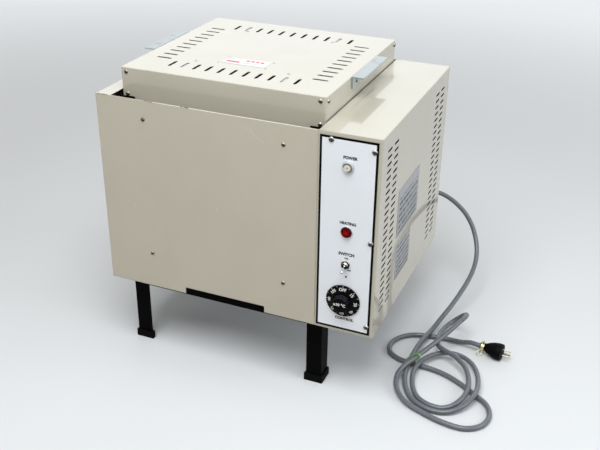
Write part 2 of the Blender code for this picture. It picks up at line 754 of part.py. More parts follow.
def make_wrap(name, outer, inward, flange):
    """A side sheet with its top flange, and a return behind each end panel."""
    panel = solid(name, wrap_profile(outer, inward, flange), RETURN_FRONT, RETURN_BACK, BEIGE_PAINT, "xz")
    root = outer + inward * SHEET / 2
    tip = outer + inward * RETURN_W
    sides = (min(root, tip), max(root, tip))
    for end, low in (("front", RETURN_FRONT + TOUCH), ("back", RETURN_BACK - TOUCH - SHEET)):
        bm = bmesh.new()
        outline = rectangle(sides[0], low, sides[1], low + SHEET)
        prism(bm, outline, CASE_BOTTOM + TOUCH, CASE_TOP - SHEET / 2)
        fuse(panel, helper(name + "_return_" + end, bm))
    return panel


def make_back_panel():
    low = (0, RETURN_BACK + TOUCH, CASE_BOTTOM)
    panel = block("back_panel", low, (CASE_W, CASE_D, CASE_TOP), BEIGE_PAINT)
    hole = drill("gland_hole_cutter", [(CORD_EXIT_X, CORD_EXIT_Z)], GLAND_WAIST_R + TOUCH,
                 RETURN_BACK - OVERRUN, CASE_D + OVERRUN, "xz")
    cut(panel, hole)


# Control section: cover with its vents, front, partition, bottom tray and plate

def make_control_cover():
    cover = make_wrap("control_cover", CASE_W, -1, CONTROL_W)
    bm = bmesh.new()
    columns = (VENT_EDGE, VENT_EDGE + VENT_COLUMN_STEP, CASE_D - VENT_EDGE - VENT_COLUMN_STEP,
               CASE_D - VENT_EDGE)
    for y in columns:
        for row in range(VENT_COUNT):
            z = CASE_BOTTOM + VENT_FIRST + VENT_PITCH * row
            outline = slot_outline(y, z, VENT_LENGTH, VENT_W, True)
            prism(bm, outline, CASE_W - SHEET - OVERRUN / 4, CASE_W + OVERRUN, "yz")
    cut(cover, helper("vent_cutter", bm))


def make_control_box(tail_holes):
    front, back = RETURN_FRONT, RETURN_BACK
    tip = PARTITION_LEFT + RETURN_W
    outline = [
        (PARTITION_LEFT, front), (tip, front), (tip, front + SHEET), (PARTITION_RIGHT, front + SHEET),
        (PARTITION_RIGHT, back - SHEET), (tip, back - SHEET), (tip, back), (PARTITION_LEFT, back),
    ]
    partition = solid("control_partition", outline, CASE_BOTTOM, CASE_TOP - SHEET - TOUCH, GALVANISED)
    cut(partition, tail_holes)
    left = PARTITION_RIGHT + TOUCH
    right = CASE_W - SHEET - TOUCH
    low = CASE_BOTTOM + SHEET
    tray = [
        (left, low), (right, low), (right, low + TRAY_FLANGE), (right - SHEET, low + TRAY_FLANGE),
        (right - SHEET, low + SHEET), (left + SHEET, low + SHEET), (left + SHEET, low + RETURN_W),
        (left, low + RETURN_W),
    ]
    inset = SHEET + 2 * TOUCH
    solid("control_base", tray, front + inset, back - inset, GALVANISED, "xz")


def instrument_holes():
    """Holes for the instruments, right through the plate and the front behind it."""
    bm = bmesh.new()
    spots = (
        (PLATE_MID_X, CLEAR_LAMP_RISE, BARREL_R), (PLATE_MID_X + RED_LAMP_SHIFT, RED_LAMP_RISE, BARREL_R),
        (TOGGLE_X, TOGGLE_RISE, BUSHING_R), (PLATE_MID_X, DIAL_RISE, REGULATOR_NECK_R),
    )
    for across, rise, radius in spots:
        outline = [(across + x, CASE_BOTTOM + rise + y) for x, y, _ in circle(radius + HOLE_CLEAR, 0)]
        prism(bm, outline, PLATE_FACE - OVERRUN, SHEET + OVERRUN, "xz")
    return helper("instrument_hole_cutter", bm)


def make_control_front():
    holes = instrument_holes()
    front = block("control_front", (CONTROL_LEFT, 0, CASE_BOTTOM), (CASE_W, SHEET, CASE_TOP), BEIGE_PAINT)
    low = (PLATE_LEFT, PLATE_FACE, CASE_BOTTOM + PLATE_RISE)
    high = (PLATE_LEFT + PLATE_W, -TOUCH, CASE_BOTTOM + PLATE_RISE + PLATE_H)
    plate = block("control_plate", low, high, WHITE_PAINT)
    cut(front, holes)
    cut(plate, holes)


# Instruments: each is turned about its own Z, which is then laid along -Y, out of the panel

FACING = (math.pi / 2, 0, 0)


def make_lamp(colour, across, rise, lens_finish):
    seat = (across, PLATE_FACE - TOUCH, CASE_BOTTOM + rise)
    pocket_r = LENS_STEM_R + TOUCH
    bezel = [(BARREL_R, -BARREL_L), (BARREL_R, 0), (BEZEL_R, 0), (BEZEL_R, BEZEL_T * 0.6),
             (BEZEL_R - BEZEL_T * 0.4, BEZEL_T), (pocket_r, BEZEL_T),
             (pocket_r, BEZEL_T - LENS_STEM_L - TOUCH)]
    turned(colour + "_lamp_bezel", bezel, CHROME, seat, FACING)
    base = BEZEL_T + TOUCH
    lens = [(LENS_STEM_R, base - LENS_STEM_L), (LENS_STEM_R, base), (LENS_R, base),
            (LENS_R, base + LENS_SIDE_H / 3), (LENS_FACE_R, base + LENS_SIDE_H),
            (LENS_FACE_R / 2, base + LENS_SIDE_H + LENS_DOME)]
    turned(colour + "_lamp_lens", lens, lens_finish, seat, FACING)


def make_toggle():
    z = CASE_BOTTOM + TOGGLE_RISE
    mouth = PLATE_FACE - BUSHING_OUT
    behind = SHEET + TOUCH
    bushing = [(BUSHING_R, -SWITCH_L / 2), (BUSHING_R, behind + BUSHING_OUT - PLATE_FACE),
               (BUSHING_BORE_R, behind + BUSHING_OUT - PLATE_FACE),
               (BUSHING_BORE_R, behind + BUSHING_OUT - PLATE_FACE - BUSHING_BORE_L)]
    switch = turned("toggle_switch", bushing, CHROME, (TOGGLE_X, behind, z), FACING, 16)
    bm = bmesh.new()
    outline = rectangle(-SWITCH_W / 2, -SWITCH_H / 2, SWITCH_W / 2, SWITCH_H / 2)
    prism(bm, outline, -SWITCH_L, 0)
    case = helper("toggle_case_body", bm)
    case.location = (TOGGLE_X, behind, z)
    case.rotation_euler = FACING
    fuse(switch, case)
    flats = NUT_FLATS / math.sqrt(3)
    rings = [circle(flats, 0, 6), circle(flats, NUT_T, 6)]
    bm = bmesh.new()
    loft(bm, rings)
    nut = place("toggle_nut", to_mesh("toggle_nut", bm), CHROME, (TOGGLE_X, PLATE_FACE - TOUCH, z), FACING)
    bore = drill("toggle_nut_cutter", [(TOGGLE_X, z)], BUSHING_R + HOLE_CLEAR, mouth - OVERRUN,
                 PLATE_FACE, "xz", 16)
    cut(nut, bore)
    lever = [(LEVER_BALL_R / 2, -LEVER_BALL_R * 0.87), (LEVER_BALL_R * 0.87, -LEVER_BALL_R / 2),
             (LEVER_BALL_R, 0), (LEVER_BALL_R * 0.87, LEVER_BALL_R / 2),
             (LEVER_NECK_R, LEVER_BALL_R), (LEVER_TIP_R, LEVER_LENGTH - LEVER_TIP_R),
             (LEVER_TIP_R * 0.87, LEVER_LENGTH - LEVER_TIP_R / 2), (LEVER_TIP_R / 2, LEVER_LENGTH)]
    pivot = (TOGGLE_X, LEVER_PIVOT_Y, z)
    turned("toggle_lever", lever, CHROME, pivot, (math.pi / 2 + LEVER_TILT, 0, 0), 12)


def fluted(radius, height, depth):
    """A ring whose edge waves in and out once for each flute."""
    count = KNOB_FLUTES * 3
    points = []
    for step in range(count):
        angle = 2 * math.pi * step / count
        edge = radius - (depth if step % 3 == 0 else 0)
        points.append((edge * math.cos(angle), edge * math.sin(angle), height))
    return points


def make_dial():
    """The skirted knob with its shaft, and the regulator that the shaft turns in."""
    z = CASE_BOTTOM + DIAL_RISE
    steps = KNOB_FLUTES * 3
    shaft_end = PLATE_FACE - DIAL_GAP - SHEET - REGULATOR_L / 2
    rings = [circle(SHAFT_R, shaft_end, steps), circle(SHAFT_R, 0, steps), circle(DIAL_R, 0, steps),
             circle(DIAL_R, DIAL_EDGE_T, steps), circle(DIAL_SHOULDER_R, DIAL_SHOULDER_H, steps),
             fluted(KNOB_R, DIAL_SHOULDER_H, 0),
             fluted(KNOB_R, DIAL_SHOULDER_H + KNOB_EDGE, KNOB_FLUTE_DEPTH),
             fluted(KNOB_TOP_R, KNOB_H - KNOB_EDGE, KNOB_FLUTE_DEPTH),
             circle(KNOB_TOP_R - KNOB_EDGE, KNOB_H, steps)]
    bm = bmesh.new()
    loft(bm, rings)
    data = to_mesh("dial_knob", bm, math.radians(35))
    place("dial_knob", data, BLACK_PLASTIC, (PLATE_MID_X, PLATE_FACE - DIAL_GAP, z), FACING)
    behind = SHEET + TOUCH
    neck_top = behind - PLATE_FACE
    bore_end = -REGULATOR_L * 0.8
    neck = [(REGULATOR_NECK_R, -REGULATOR_L / 4), (REGULATOR_NECK_R, neck_top),
            (SHAFT_R + SHAFT_CLEAR, neck_top), (SHAFT_R + SHAFT_CLEAR, bore_end)]
    bm = bmesh.new()
    outline = rectangle(-REGULATOR_W / 2, -REGULATOR_H / 2, REGULATOR_W / 2, REGULATOR_H / 2)
    prism(bm, outline, -REGULATOR_L, 0)
    regulator = place("energy_regulator", to_mesh("energy_regulator", bm), BLACK_PLASTIC,
                      (PLATE_MID_X, behind, z), FACING)
    bm = bmesh.new()
    loft(bm, [circle(radius, height) for radius, height in neck[:2]])
    collar = helper("regulator_neck_body", bm)
    bore = drill("regulator_bore_cutter", [(PLATE_MID_X, z)], SHAFT_R + SHAFT_CLEAR,
                 PLATE_FACE - OVERRUN, behind - bore_end, "xz", steps)
    collar.location = (PLATE_MID_X, behind, z)
    collar.rotation_euler = FACING
    fuse(regulator, collar)
    cut(regulator, bore)


# Lid: slotted cover, insulating slab, straps, corner angles and handles

def lid_ring(inset, height):
    radius = max(LID_CORNER_R - inset, TOUCH)
    outline = round_rectangle(LID_LEFT + inset, LID_FRONT + inset, LID_RIGHT - inset, LID_BACK - inset,
                              radius, 2)
    return [(x, y, height) for x, y in outline]


def make_lid_cover():
    rings = [
        lid_ring(SHEET, LID_TOP - SHEET), lid_ring(SHEET, LID_BOTTOM + SHEET),
        lid_ring(LID_LIP, LID_BOTTOM + SHEET), lid_ring(LID_LIP, LID_BOTTOM),
        lid_ring(0, LID_BOTTOM), lid_ring(0, LID_TOP - SHEET), lid_ring(SHEET / 3, LID_TOP - SHEET / 3),
        lid_ring(SHEET, LID_TOP),
    ]
    bm = bmesh.new()
    loft(bm, rings)
    cover = place("lid_cover", to_mesh("lid_cover", bm), BEIGE_PAINT)
    bm = bmesh.new()
    low, high = LID_TOP - SHEET - OVERRUN / 4, LID_TOP + OVERRUN
    for sign in (-1, 1):
        for column in range(LID_SLOT_COLUMNS):
            x = LID_MID_X + LID_SLOT_PITCH_X * (column - (LID_SLOT_COLUMNS - 1) / 2)
            y = LID_MID_Y + sign * (LID_D / 2 - LID_ROW_INSET_FRONT)
            prism(bm, slot_outline(x, y, LID_SLOT_LENGTH, LID_SLOT_W, False), low, high)
        for row in range(LID_SLOT_ROWS):
            x = LID_MID_X + sign * (LID_W / 2 - LID_ROW_INSET_SIDE)
            y = LID_MID_Y + LID_SLOT_PITCH_Y * (row - (LID_SLOT_ROWS - 1) / 2)
            prism(bm, slot_outline(x, y, LID_SLOT_LENGTH, LID_SLOT_W, True), low, high)
    cut(cover, helper("lid_slot_cutter", bm))


def make_lid_block():
    """The slab fills the skirt above the lip, and its rebated underside lies flush with the lip."""
    inset = SHEET + TOUCH + CORNER_T + TOUCH
    step = LID_BOTTOM + SHEET + TOUCH
    rings = [
        lid_ring(LID_LIP + TOUCH, LID_BOTTOM), lid_ring(LID_LIP + TOUCH, step),
        lid_ring(inset, step), lid_ring(inset, LID_BOTTOM + LID_BLOCK_H),
    ]
    bm = bmesh.new()
    loft(bm, rings)
    place("lid_insulation", to_mesh("lid_insulation", bm), FIRE_BRICK)


def make_straps():
    """Upturned channels between the slab and the top, which run from front to back."""
    low = LID_BOTTOM + LID_BLOCK_H + TOUCH
    high = LID_TOP - SHEET - TOUCH
    for side, sign in (("left", -1), ("right", 1)):
        middle = LID_MID_X + sign * STRAP_SPREAD / 2
        left, right = middle - STRAP_W / 2, middle + STRAP_W / 2
        outline = [
            (left, low), (left + STRAP_T, low), (left + STRAP_T, high - STRAP_T),
            (right - STRAP_T, high - STRAP_T), (right - STRAP_T, low), (right, low),
            (right, high), (left, high),
        ]
        inset = SHEET + TOUCH
        solid("lid_strap_" + side, outline, LID_FRONT + inset, LID_BACK - inset, GALVANISED, "xz")


def make_lid_corners():
    inset = SHEET + TOUCH
    low = LID_BOTTOM + SHEET + TOUCH
    high = LID_TOP - CORNER_HEAD
    corners = (
        ("front_left", LID_LEFT + inset, LID_FRONT + inset, 0.0),
        ("front_right", LID_RIGHT - inset, LID_FRONT + inset, math.pi / 2),
        ("back_right", LID_RIGHT - inset, LID_BACK - inset, math.pi),
        ("back_left", LID_LEFT + inset, LID_BACK - inset, -math.pi / 2),
    )
    chamfer = LID_CORNER_R - SHEET
    outline = angle_outline(CORNER_FLANGE, CORNER_T)
    outline = [(0, chamfer), (chamfer, 0)] + outline[1:]
    for corner, x, y, turn in corners:
        solid("lid_corner_" + corner, outline, low, high, GALVANISED, "xy", (x, y, 0), (0, 0, turn))


def make_handles():
    """Angles with the flat leg flush with the lid's top and turned outward."""
    front = LID_MID_Y - HANDLE_LENGTH / 2
    for side, skirt, outward in (("left", LID_LEFT, -1), ("right", LID_RIGHT, 1)):
        inner = skirt + outward * TOUCH
        far = inner + outward * HANDLE_FLANGE
        leg = inner + outward * HANDLE_T
        outline = [
            (inner, LID_TOP - HANDLE_FLANGE), (leg, LID_TOP - HANDLE_FLANGE), (leg, LID_TOP - HANDLE_T),
            (far, LID_TOP - HANDLE_T), (far, LID_TOP), (inner, LID_TOP),
        ]
        solid("lid_handle_" + side, outline, front, front + HANDLE_LENGTH, ALUMINIUM, "xz")


# Mains cord: gland, the drop to the floor, the coil, the lead to the plug, the plug and the tie

def make_gland():
    profile = [(GLAND_WAIST_R, -GLAND_IN), (GLAND_WAIST_R, TOUCH), (GLAND_R, TOUCH),
               (GLAND_R, GLAND_OUT / 5), (GLAND_TIP_R, GLAND_OUT)]
    turned("cord_gland", profile, RUBBER, (CORD_EXIT_X, CASE_D, CORD_EXIT_Z), (-math.pi / 2, 0, 0))


def ease(share):
    """Go smoothly from 0 to 1."""
    share = min(max(share, 0.0), 1.0)
    return share * share * (3 - 2 * share)


def coil_point(turn):
    """A point of the coil, an oval that tightens inward and rides over the stretch under its far side."""
    angle = math.pi + 2 * math.pi * turn
    bulge = COIL_BULGE * max(math.cos(angle + COIL_BULGE_TURN), 0.0) ** 2
    x = COIL_X + (COIL_REACH_X - COIL_TIGHTEN_X * turn) * math.cos(angle)
    y = COIL_Y - COIL_SHIFT_Y * turn + (COIL_REACH_Y - COIL_TIGHTEN_Y * turn) * math.sin(angle)
    part = turn % 1.0
    if part < COIL_DOWN_SHARE:
        ride = 1 - ease(part / COIL_DOWN_SHARE)
    else:
        ride = ease((part - COIL_UP_SHARE) / COIL_DOWN_SHARE)
    leave = ease((turn - COIL_EXIT_SHARE) / COIL_EXIT_SPAN_SHARE)
    height = CORD_LIE + COIL_RIDE * ride + COIL_EXIT_RISE * leave
    x += bulge * math.cos(COIL_BULGE_TURN)
    y -= bulge * math.sin(COIL_BULGE_TURN)
    return Vector((x, y, height))


def coil_points():
    """The whole coil, with a straight stretch of one diameter at each end."""
    count = round(COIL_TURNS * COIL_LOOP_POINTS)
    points = [coil_point(COIL_TURNS * step / count) for step in range(count + 1)]
    start = (points[0] - points[1]).normalized()
    end = (points[-1] - points[-2]).normalized()
    return [points[0] + start * CORD_D] + points + [points[-1] + end * CORD_D]


def least_gap(points, diameter):
    """The least gap between stretches of one tube that aren't next to each other."""
    fine = []
    travelled = []
    length = 0.0
    for start, end in zip(points, points[1:]):
        step = (end - start) / 6
        for index in range(6):
            fine.append(start + step * index)
            travelled.append(length)
            length += step.length
    least = length
    for low, spot in enumerate(fine):
        for high in range(low + 1, len(fine)):
            if travelled[high] - travelled[low] > 3 * diameter:
                least = min(least, (fine[high] - spot).length)
    return least - diameter


def highest_at(points, y):
    """The highest place where a run of points crosses a plane of constant Y."""
    found = []
    for start, end in zip(points, points[1:]):
        if (start.y - y) * (end.y - y) < 0:
            found.append(start.lerp(end, (y - start.y) / (end.y - start.y)))
    return max(found, key=lambda place_found: place_found.z)


def make_cord():
    coil = coil_points()
    into_coil = (coil[1] - coil[0]).normalized()
    out_of_coil = (coil[-1] - coil[-2]).normalized()
    gland_tip = Vector((CORD_EXIT_X, CASE_D + GLAND_OUT + TOUCH, CORD_EXIT_Z))
    drop = [gland_tip, gland_tip + Vector((0, CORD_D, 0))]
    drop += [Vector(point) for point in DROP_ROUTE]
    drop += [coil[0] - into_coil * (CORD_D + TOUCH), coil[0] - into_coil * TOUCH]
    plug_way = Vector((math.cos(PLUG_YAW), math.sin(PLUG_YAW), 0))
    plug_tail = Vector((PLUG_X, PLUG_Y, PLUG_R + PLUG_LIFT))
    lead = [coil[-1] + out_of_coil * TOUCH, coil[-1] + out_of_coil * CORD_D]
    lead += [Vector(point) for point in LEAD_ROUTE]
    lead += [plug_tail - plug_way * 2 * CORD_D, plug_tail - plug_way * TOUCH]
    drop_points = smooth_route(drop, CORD_SPACING)
    lead_points = smooth_route(lead, CORD_SPACING)
    tube("power_cord_drop", drop_points, CORD_R, 2, CORD_GREY)
    tube("power_cord_coil", coil, CORD_R, 1, CORD_GREY)
    tube("power_cord_lead", lead_points, CORD_R, 2, CORD_GREY)
    whole = drop_points + coil + lead_points
    print("cord's least gap to itself, mm:", round(1000 * least_gap(whole, CORD_D), 2))
    print("cord length, m:", round(route_length(whole), 3))
    make_tie(highest_at(drop_points, TIE_Y), highest_at(lead_points, TIE_Y))
    return plug_tail


def make_plug(tail):
    """Rubber plug body, the clamp band on its tail and the contacts in its face, laid along the lead."""
    along = (math.pi / 2, 0, math.pi / 2 + PLUG_YAW)
    pocket = PLUG_L - CONTACT_DISC_T - TOUCH
    body = [(PLUG_TAIL_R, 0), (PLUG_TAIL_R, PLUG_TAIL_L), (PLUG_R, PLUG_L - PLUG_RIM_L), (PLUG_R, PLUG_L),
            (CONTACT_DISC_R + TOUCH, PLUG_L), (CONTACT_DISC_R + TOUCH, pocket)]
    turned("plug_body", body, RUBBER, tail, along)
    bm = bmesh.new()
    disc_low = pocket + TOUCH
    loft(bm, [circle(CONTACT_DISC_R, disc_low), circle(CONTACT_DISC_R, PLUG_L)])
    contacts = place("plug_contacts", to_mesh("plug_contacts", bm), BRASS, tail, along)
    bm = bmesh.new()
    root = disc_low + CONTACT_DISC_T / 2
    for sign in (-1, 1):
        middle = sign * BLADE_SPREAD / 2
        outline = rectangle(middle - BLADE_T / 2, -BLADE_W / 2, middle + BLADE_T / 2, BLADE_W / 2)
        prism(bm, outline, root, PLUG_L + BLADE_L)
    outline = rectangle(-BLADE_T, -BLADE_THIRD_DROP - BLADE_T, BLADE_T, -BLADE_THIRD_DROP + BLADE_T)
    prism(bm, outline, root, PLUG_L + BLADE_L)
    blades = helper("plug_blade_bodies", bm)
    blades.location = tail
    blades.rotation_euler = along
    fuse(contacts, blades)
    inner = PLUG_TAIL_R + TOUCH
    outer = inner + CLAMP_T
    low = (PLUG_TAIL_L - CLAMP_W) / 2
    band = [(inner, low), (outer, low), (outer, low + CLAMP_W), (inner, low + CLAMP_W)]
    clamp = turned("plug_clamp", band, BRASS, tail, along, ROUND_STEPS, True)
    bm = bmesh.new()
    outline = rectangle(-CLAMP_W / 4, inner + CLAMP_T / 2, CLAMP_W / 4, outer + CLAMP_EAR)
    prism(bm, outline, low + CLAMP_W / 8, low + CLAMP_W * 7 / 8)
    ear = helper("plug_clamp_ear_body", bm)
    ear.location = tail
    ear.rotation_euler = along
    fuse(clamp, ear)


def make_tie(low, high):
    """A wire loop round two stretches of cord that pass one above the other."""
    across = high - low
    lead = math.atan2(across.z, across.x)
    reach = CORD_R + TIE_CLEAR + TIE_R
    points = []
    for centre, start in ((high, -math.pi / 2), (low, math.pi / 2)):
        for step in range(TIE_STEPS + 1):
            angle = lead + start + math.pi * step / TIE_STEPS
            points.append((centre.x + reach * math.cos(angle), TIE_Y, centre.z + reach * math.sin(angle)))
    tube("cord_tie", points, TIE_R, 1, GREEN_WIRE, True)


def build():
    tail_holes = make_tail_holes()
    make_posts()
    make_rails()
    make_bricks(tail_holes)
    make_jacket(tail_holes)
    make_heaters()
    make_terminal_strip(tail_holes)
    make_front_panel()
    make_wrap("left_side_panel", 0, 1, LEFT_FLANGE)
    make_back_panel()
    make_control_cover()
    make_control_box(tail_holes)
    make_control_front()
    make_lamp("clear", PLATE_MID_X, CLEAR_LAMP_RISE, CLEAR_LENS)
    make_lamp("red", PLATE_MID_X + RED_LAMP_SHIFT, RED_LAMP_RISE, RED_LENS)
    make_toggle()
    make_dial()
    make_lid_cover()
    make_lid_block()
    make_straps()
    make_lid_corners()
    make_handles()
    make_gland()
    make_plug(make_cord())


clear_scene()
KILN = bpy.data.objects.new("kiln_origin", None)
bpy.context.scene.collection.objects.link(KILN)
KILN.location = (-CASE_W / 2, -(REACH_FRONT + REACH_BACK) / 2, 0)
build()
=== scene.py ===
import math

import bmesh
import bpy
from mathutils import Matrix, Vector


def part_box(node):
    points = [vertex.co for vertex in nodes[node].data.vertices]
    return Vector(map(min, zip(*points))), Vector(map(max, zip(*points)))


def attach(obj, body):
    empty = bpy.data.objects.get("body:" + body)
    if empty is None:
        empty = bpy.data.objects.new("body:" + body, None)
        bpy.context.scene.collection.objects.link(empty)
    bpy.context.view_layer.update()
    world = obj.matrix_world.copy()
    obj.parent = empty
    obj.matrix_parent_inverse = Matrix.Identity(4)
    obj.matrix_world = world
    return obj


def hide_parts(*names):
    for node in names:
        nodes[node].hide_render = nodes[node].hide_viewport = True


# Frame
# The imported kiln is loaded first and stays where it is. Places below are measured, as on the real kiln,
# from the case's left side, from its front face and from the floor.
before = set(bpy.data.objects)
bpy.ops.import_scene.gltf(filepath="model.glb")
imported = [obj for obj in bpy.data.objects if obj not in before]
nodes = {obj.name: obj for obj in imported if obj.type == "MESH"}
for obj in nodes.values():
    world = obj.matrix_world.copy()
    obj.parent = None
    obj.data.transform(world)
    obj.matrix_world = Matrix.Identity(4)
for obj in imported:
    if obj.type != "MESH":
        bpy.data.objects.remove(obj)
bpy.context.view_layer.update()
CASE_LEFT, CASE_FRONT, CASE_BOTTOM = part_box("front_panel")[0]
CASE_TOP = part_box("front_panel")[1].z


def spot(x, y, z):
    """A place measured from the case's left side, its front face and the floor."""
    return Vector((CASE_LEFT + x, CASE_FRONT + y, z))


def middle(node):
    """The middle of a node's box."""
    low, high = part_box(node)
    return (low + high) / 2


# Camera
# A short telephoto view from above and to the right of the kiln's front, as in the photograph.
lens = bpy.data.cameras.new("camera")
lens.lens = 53.96
lens.sensor_width = 36.0
camera = bpy.data.objects.new("camera", lens)
camera.location = (0.7305, -1.65089, 1.1919)
camera.rotation_euler = (math.radians(62.363), math.radians(-0.630), math.radians(22.879))
bpy.context.scene.collection.objects.link(camera)
bpy.context.scene.camera = camera

# Power cord
# Three-core mains cord in a round grey sheath, 2.85 m long. It leaves the gland at the back, drops to
# the floor and lies there in loops held by a wire tie, and ends in its plug.
CORD_R = 0.0055
CORD_STEP = 0.008
GLAND_MOUTH = (0.5530, 0.4998, 0.2520)
PLUG_TAIL = (0.7695, 0.2820, 0.0190)
PLUG_YAW = math.radians(-8.0)
COIL_TURNS = 1.66
COIL_X, COIL_Y = 0.720, 0.144
COIL_HALF_X, COIL_HALF_Y = 0.0805, 0.109
TURN_TAKES_X, TURN_TAKES_Y, TURN_MOVES_Y = 0.018, 0.023, 0.0095
COIL_BULGE, COIL_LEAN = 0.012, math.radians(42.0)
COIL_LIE, RIDE_HEIGHT, LEAVE_HEIGHT = 0.006, 0.0119, 0.012
RIDE_SLOPE, RIDE_FROM, LEAVE_SLOPE, LEAVE_FROM = 0.16, 0.28, 0.30, 1.4
DROP_ROUTE = (
    (0.5550, 0.5240, 0.2520), (0.5650, 0.5400, 0.2500), (0.5820, 0.5520, 0.2450),
    (0.6030, 0.5580, 0.2350), (0.6270, 0.5590, 0.2200), (0.6530, 0.5570, 0.1970),
    (0.6750, 0.5490, 0.1660), (0.6920, 0.5260, 0.1340), (0.6990, 0.4960, 0.1080),
    (0.6970, 0.4580, 0.0860), (0.6880, 0.4160, 0.0660), (0.6760, 0.3740, 0.0470),
    (0.6630, 0.3350, 0.0320), (0.6530, 0.2980, 0.0220), (0.6450, 0.2600, 0.0195),
    (0.6400, 0.2220, 0.0190),
)
LEAD_ROUTE = (
    (0.6900, 0.2230, 0.0305), (0.6780, 0.2500, 0.0280), (0.6740, 0.2840, 0.0225),
    (0.6780, 0.3160, 0.0210), (0.6855, 0.3311, 0.0250), (0.6970, 0.3401, 0.0344),
    (0.7093, 0.3407, 0.0466), (0.7192, 0.3326, 0.0583), (0.7241, 0.3181, 0.0664),
    (0.7225, 0.3010, 0.0688), (0.7150, 0.2800, 0.0670), (0.7040, 0.2570, 0.0600),
    (0.6910, 0.2340, 0.0510), (0.6775, 0.2105, 0.0435), (0.6510, 0.1590, 0.0325),
    (0.6370, 0.1300, 0.0283), (0.6300, 0.1000, 0.0200), (0.6410, 0.0660, 0.0120),
    (0.6700, 0.0370, 0.0080), (0.7140, 0.0190, 0.0060), (0.7570, 0.0070, 0.0060),
    (0.7990, 0.0060, 0.0060), (0.8290, 0.0270, 0.0060), (0.8380, 0.0620, 0.0060),
    (0.8250, 0.0960, 0.0060), (0.7960, 0.1190, 0.0060), (0.7600, 0.1430, 0.0060),
    (0.7250, 0.1610, 0.0060), (0.6900, 0.1700, 0.0060), (0.6500, 0.1730, 0.0060),
    (0.6120, 0.1780, 0.0060), (0.5850, 0.1960, 0.0060), (0.5770, 0.2260, 0.0060),
    (0.5870, 0.2560, 0.0060), (0.6120, 0.2800, 0.0060), (0.6500, 0.2910, 0.0060),
    (0.6900, 0.2950, 0.0065), (0.7220, 0.2910, 0.0100),
)


def smooth_run(route, spacing):
    """Points at even steps along a smooth curve, between a straight first and last stretch."""
    knots = [Vector(point) for point in route]
    fine = []
    for before, start, end, after in zip(knots, knots[1:], knots[2:], knots[3:]):
        for step in range(20):
            t = step / 20
            bend = (2 * start + (end - before) * t + (2 * before - 5 * start + 4 * end - after) * t**2
                    + (3 * start - before - 3 * end + after) * t**3)
            fine.append(bend / 2)
    fine.append(knots[-2])
    lengths = [0.0]
    for start, end in zip(fine, fine[1:]):
        lengths.append(lengths[-1] + (end - start).length)
    count = max(2, round(lengths[-1] / spacing))
    points = [knots[0]]
    index = 0
    for step in range(count + 1):
        target = lengths[-1] * step / count
        while index < len(fine) - 2 and lengths[index + 1] < target:
            index += 1
        share = (target - lengths[index]) / (lengths[index + 1] - lengths[index])
        points.append(fine[index].lerp(fine[index + 1], min(share, 1.0)))
    return points + [knots[-1]]


def ease(share):
    """Go smoothly from 0 to 1."""
    share = min(max(share, 0.0), 1.0)
    return share * share * (3 - 2 * share)


def coil_point(turn):
    """A point of the oval loops, which tighten inward and ride over the stretch under their far side."""
    angle = math.pi + 2 * math.pi * turn
    bulge = COIL_BULGE * max(math.cos(angle + COIL_LEAN), 0.0) ** 2
    half_x = COIL_HALF_X - TURN_TAKES_X * turn
    half_y = COIL_HALF_Y - TURN_TAKES_Y * turn
    x = COIL_X + half_x * math.cos(angle) + bulge * math.cos(COIL_LEAN)
    y = COIL_Y - TURN_MOVES_Y * turn + half_y * math.sin(angle) - bulge * math.sin(COIL_LEAN)
    part = turn % 1.0
    if part < RIDE_SLOPE:
        ride = 1 - ease(part / RIDE_SLOPE)
    else:
        ride = ease((part - RIDE_FROM) / RIDE_SLOPE)
    leave = ease((turn - LEAVE_FROM) / LEAVE_SLOPE)
    return Vector((x, y, COIL_LIE + RIDE_HEIGHT * ride + LEAVE_HEIGHT * leave))


def cord_points():
    """The whole cord from the gland's mouth to the plug's tail, and where its drop and lead begin."""
    steps = 120
    coil = [coil_point(COIL_TURNS * step / steps) for step in range(steps + 1)]
    into = (coil[1] - coil[0]).normalized()
    out = (coil[-1] - coil[-2]).normalized()
    step = 2 * CORD_R
    coil = [coil[0] - into * step] + coil + [coil[-1] + out * step]
    mouth = Vector(GLAND_MOUTH)
    tail = Vector(PLUG_TAIL)
    way = Vector((math.cos(PLUG_YAW), math.sin(PLUG_YAW), 0))
    drop = [mouth, mouth + Vector((0, step, 0))] + [Vector(point) for point in DROP_ROUTE]
    drop += [coil[0] - into * step, coil[0]]
    lead = [coil[-1], coil[-1] + out * step] + [Vector(point) for point in LEAD_ROUTE]
    lead += [tail - way * 2 * step, tail]
    return smooth_run(drop, CORD_STEP), coil[1:], smooth_run(lead, CORD_STEP)[1:]


def tube(name, runs, radius, resolution):
    """A round tube along each run of places, as one curve."""
    data = bpy.data.curves.new(name, "CURVE")
    data.dimensions = "3D"
    data.bevel_depth = radius
    data.bevel_resolution = resolution
    data.use_fill_caps = True
    for run in runs:
        spline = data.splines.new("POLY")
        spline.points.add(len(run) - 1)
        for knot, place in zip(spline.points, run):
            knot.co = (*place, 1.0)
        spline.use_smooth = True
    piece = bpy.data.objects.new(name, data)
    bpy.context.scene.collection.objects.link(piece)
    return piece


def new_group(name, inputs, outputs):
    """An empty node group with its named sockets, its input values and its output places."""
    group = bpy.data.node_groups.new(name, "ShaderNodeTree")
    for label, kind, value in inputs:
        socket = group.interface.new_socket(label, in_out="INPUT", socket_type="NodeSocket" + kind)
        socket.default_value = value
    for label, kind in outputs:
        group.interface.new_socket(label, in_out="OUTPUT", socket_type="NodeSocket" + kind)
    return group, group.nodes.new("NodeGroupInput").outputs, group.nodes.new("NodeGroupOutput").inputs


def feed(tree, socket, value):
    """Links an input from another node's output, or gives it a value."""
    if isinstance(value, bpy.types.NodeSocket):
        tree.links.new(value, socket)
    else:
        socket.default_value = value


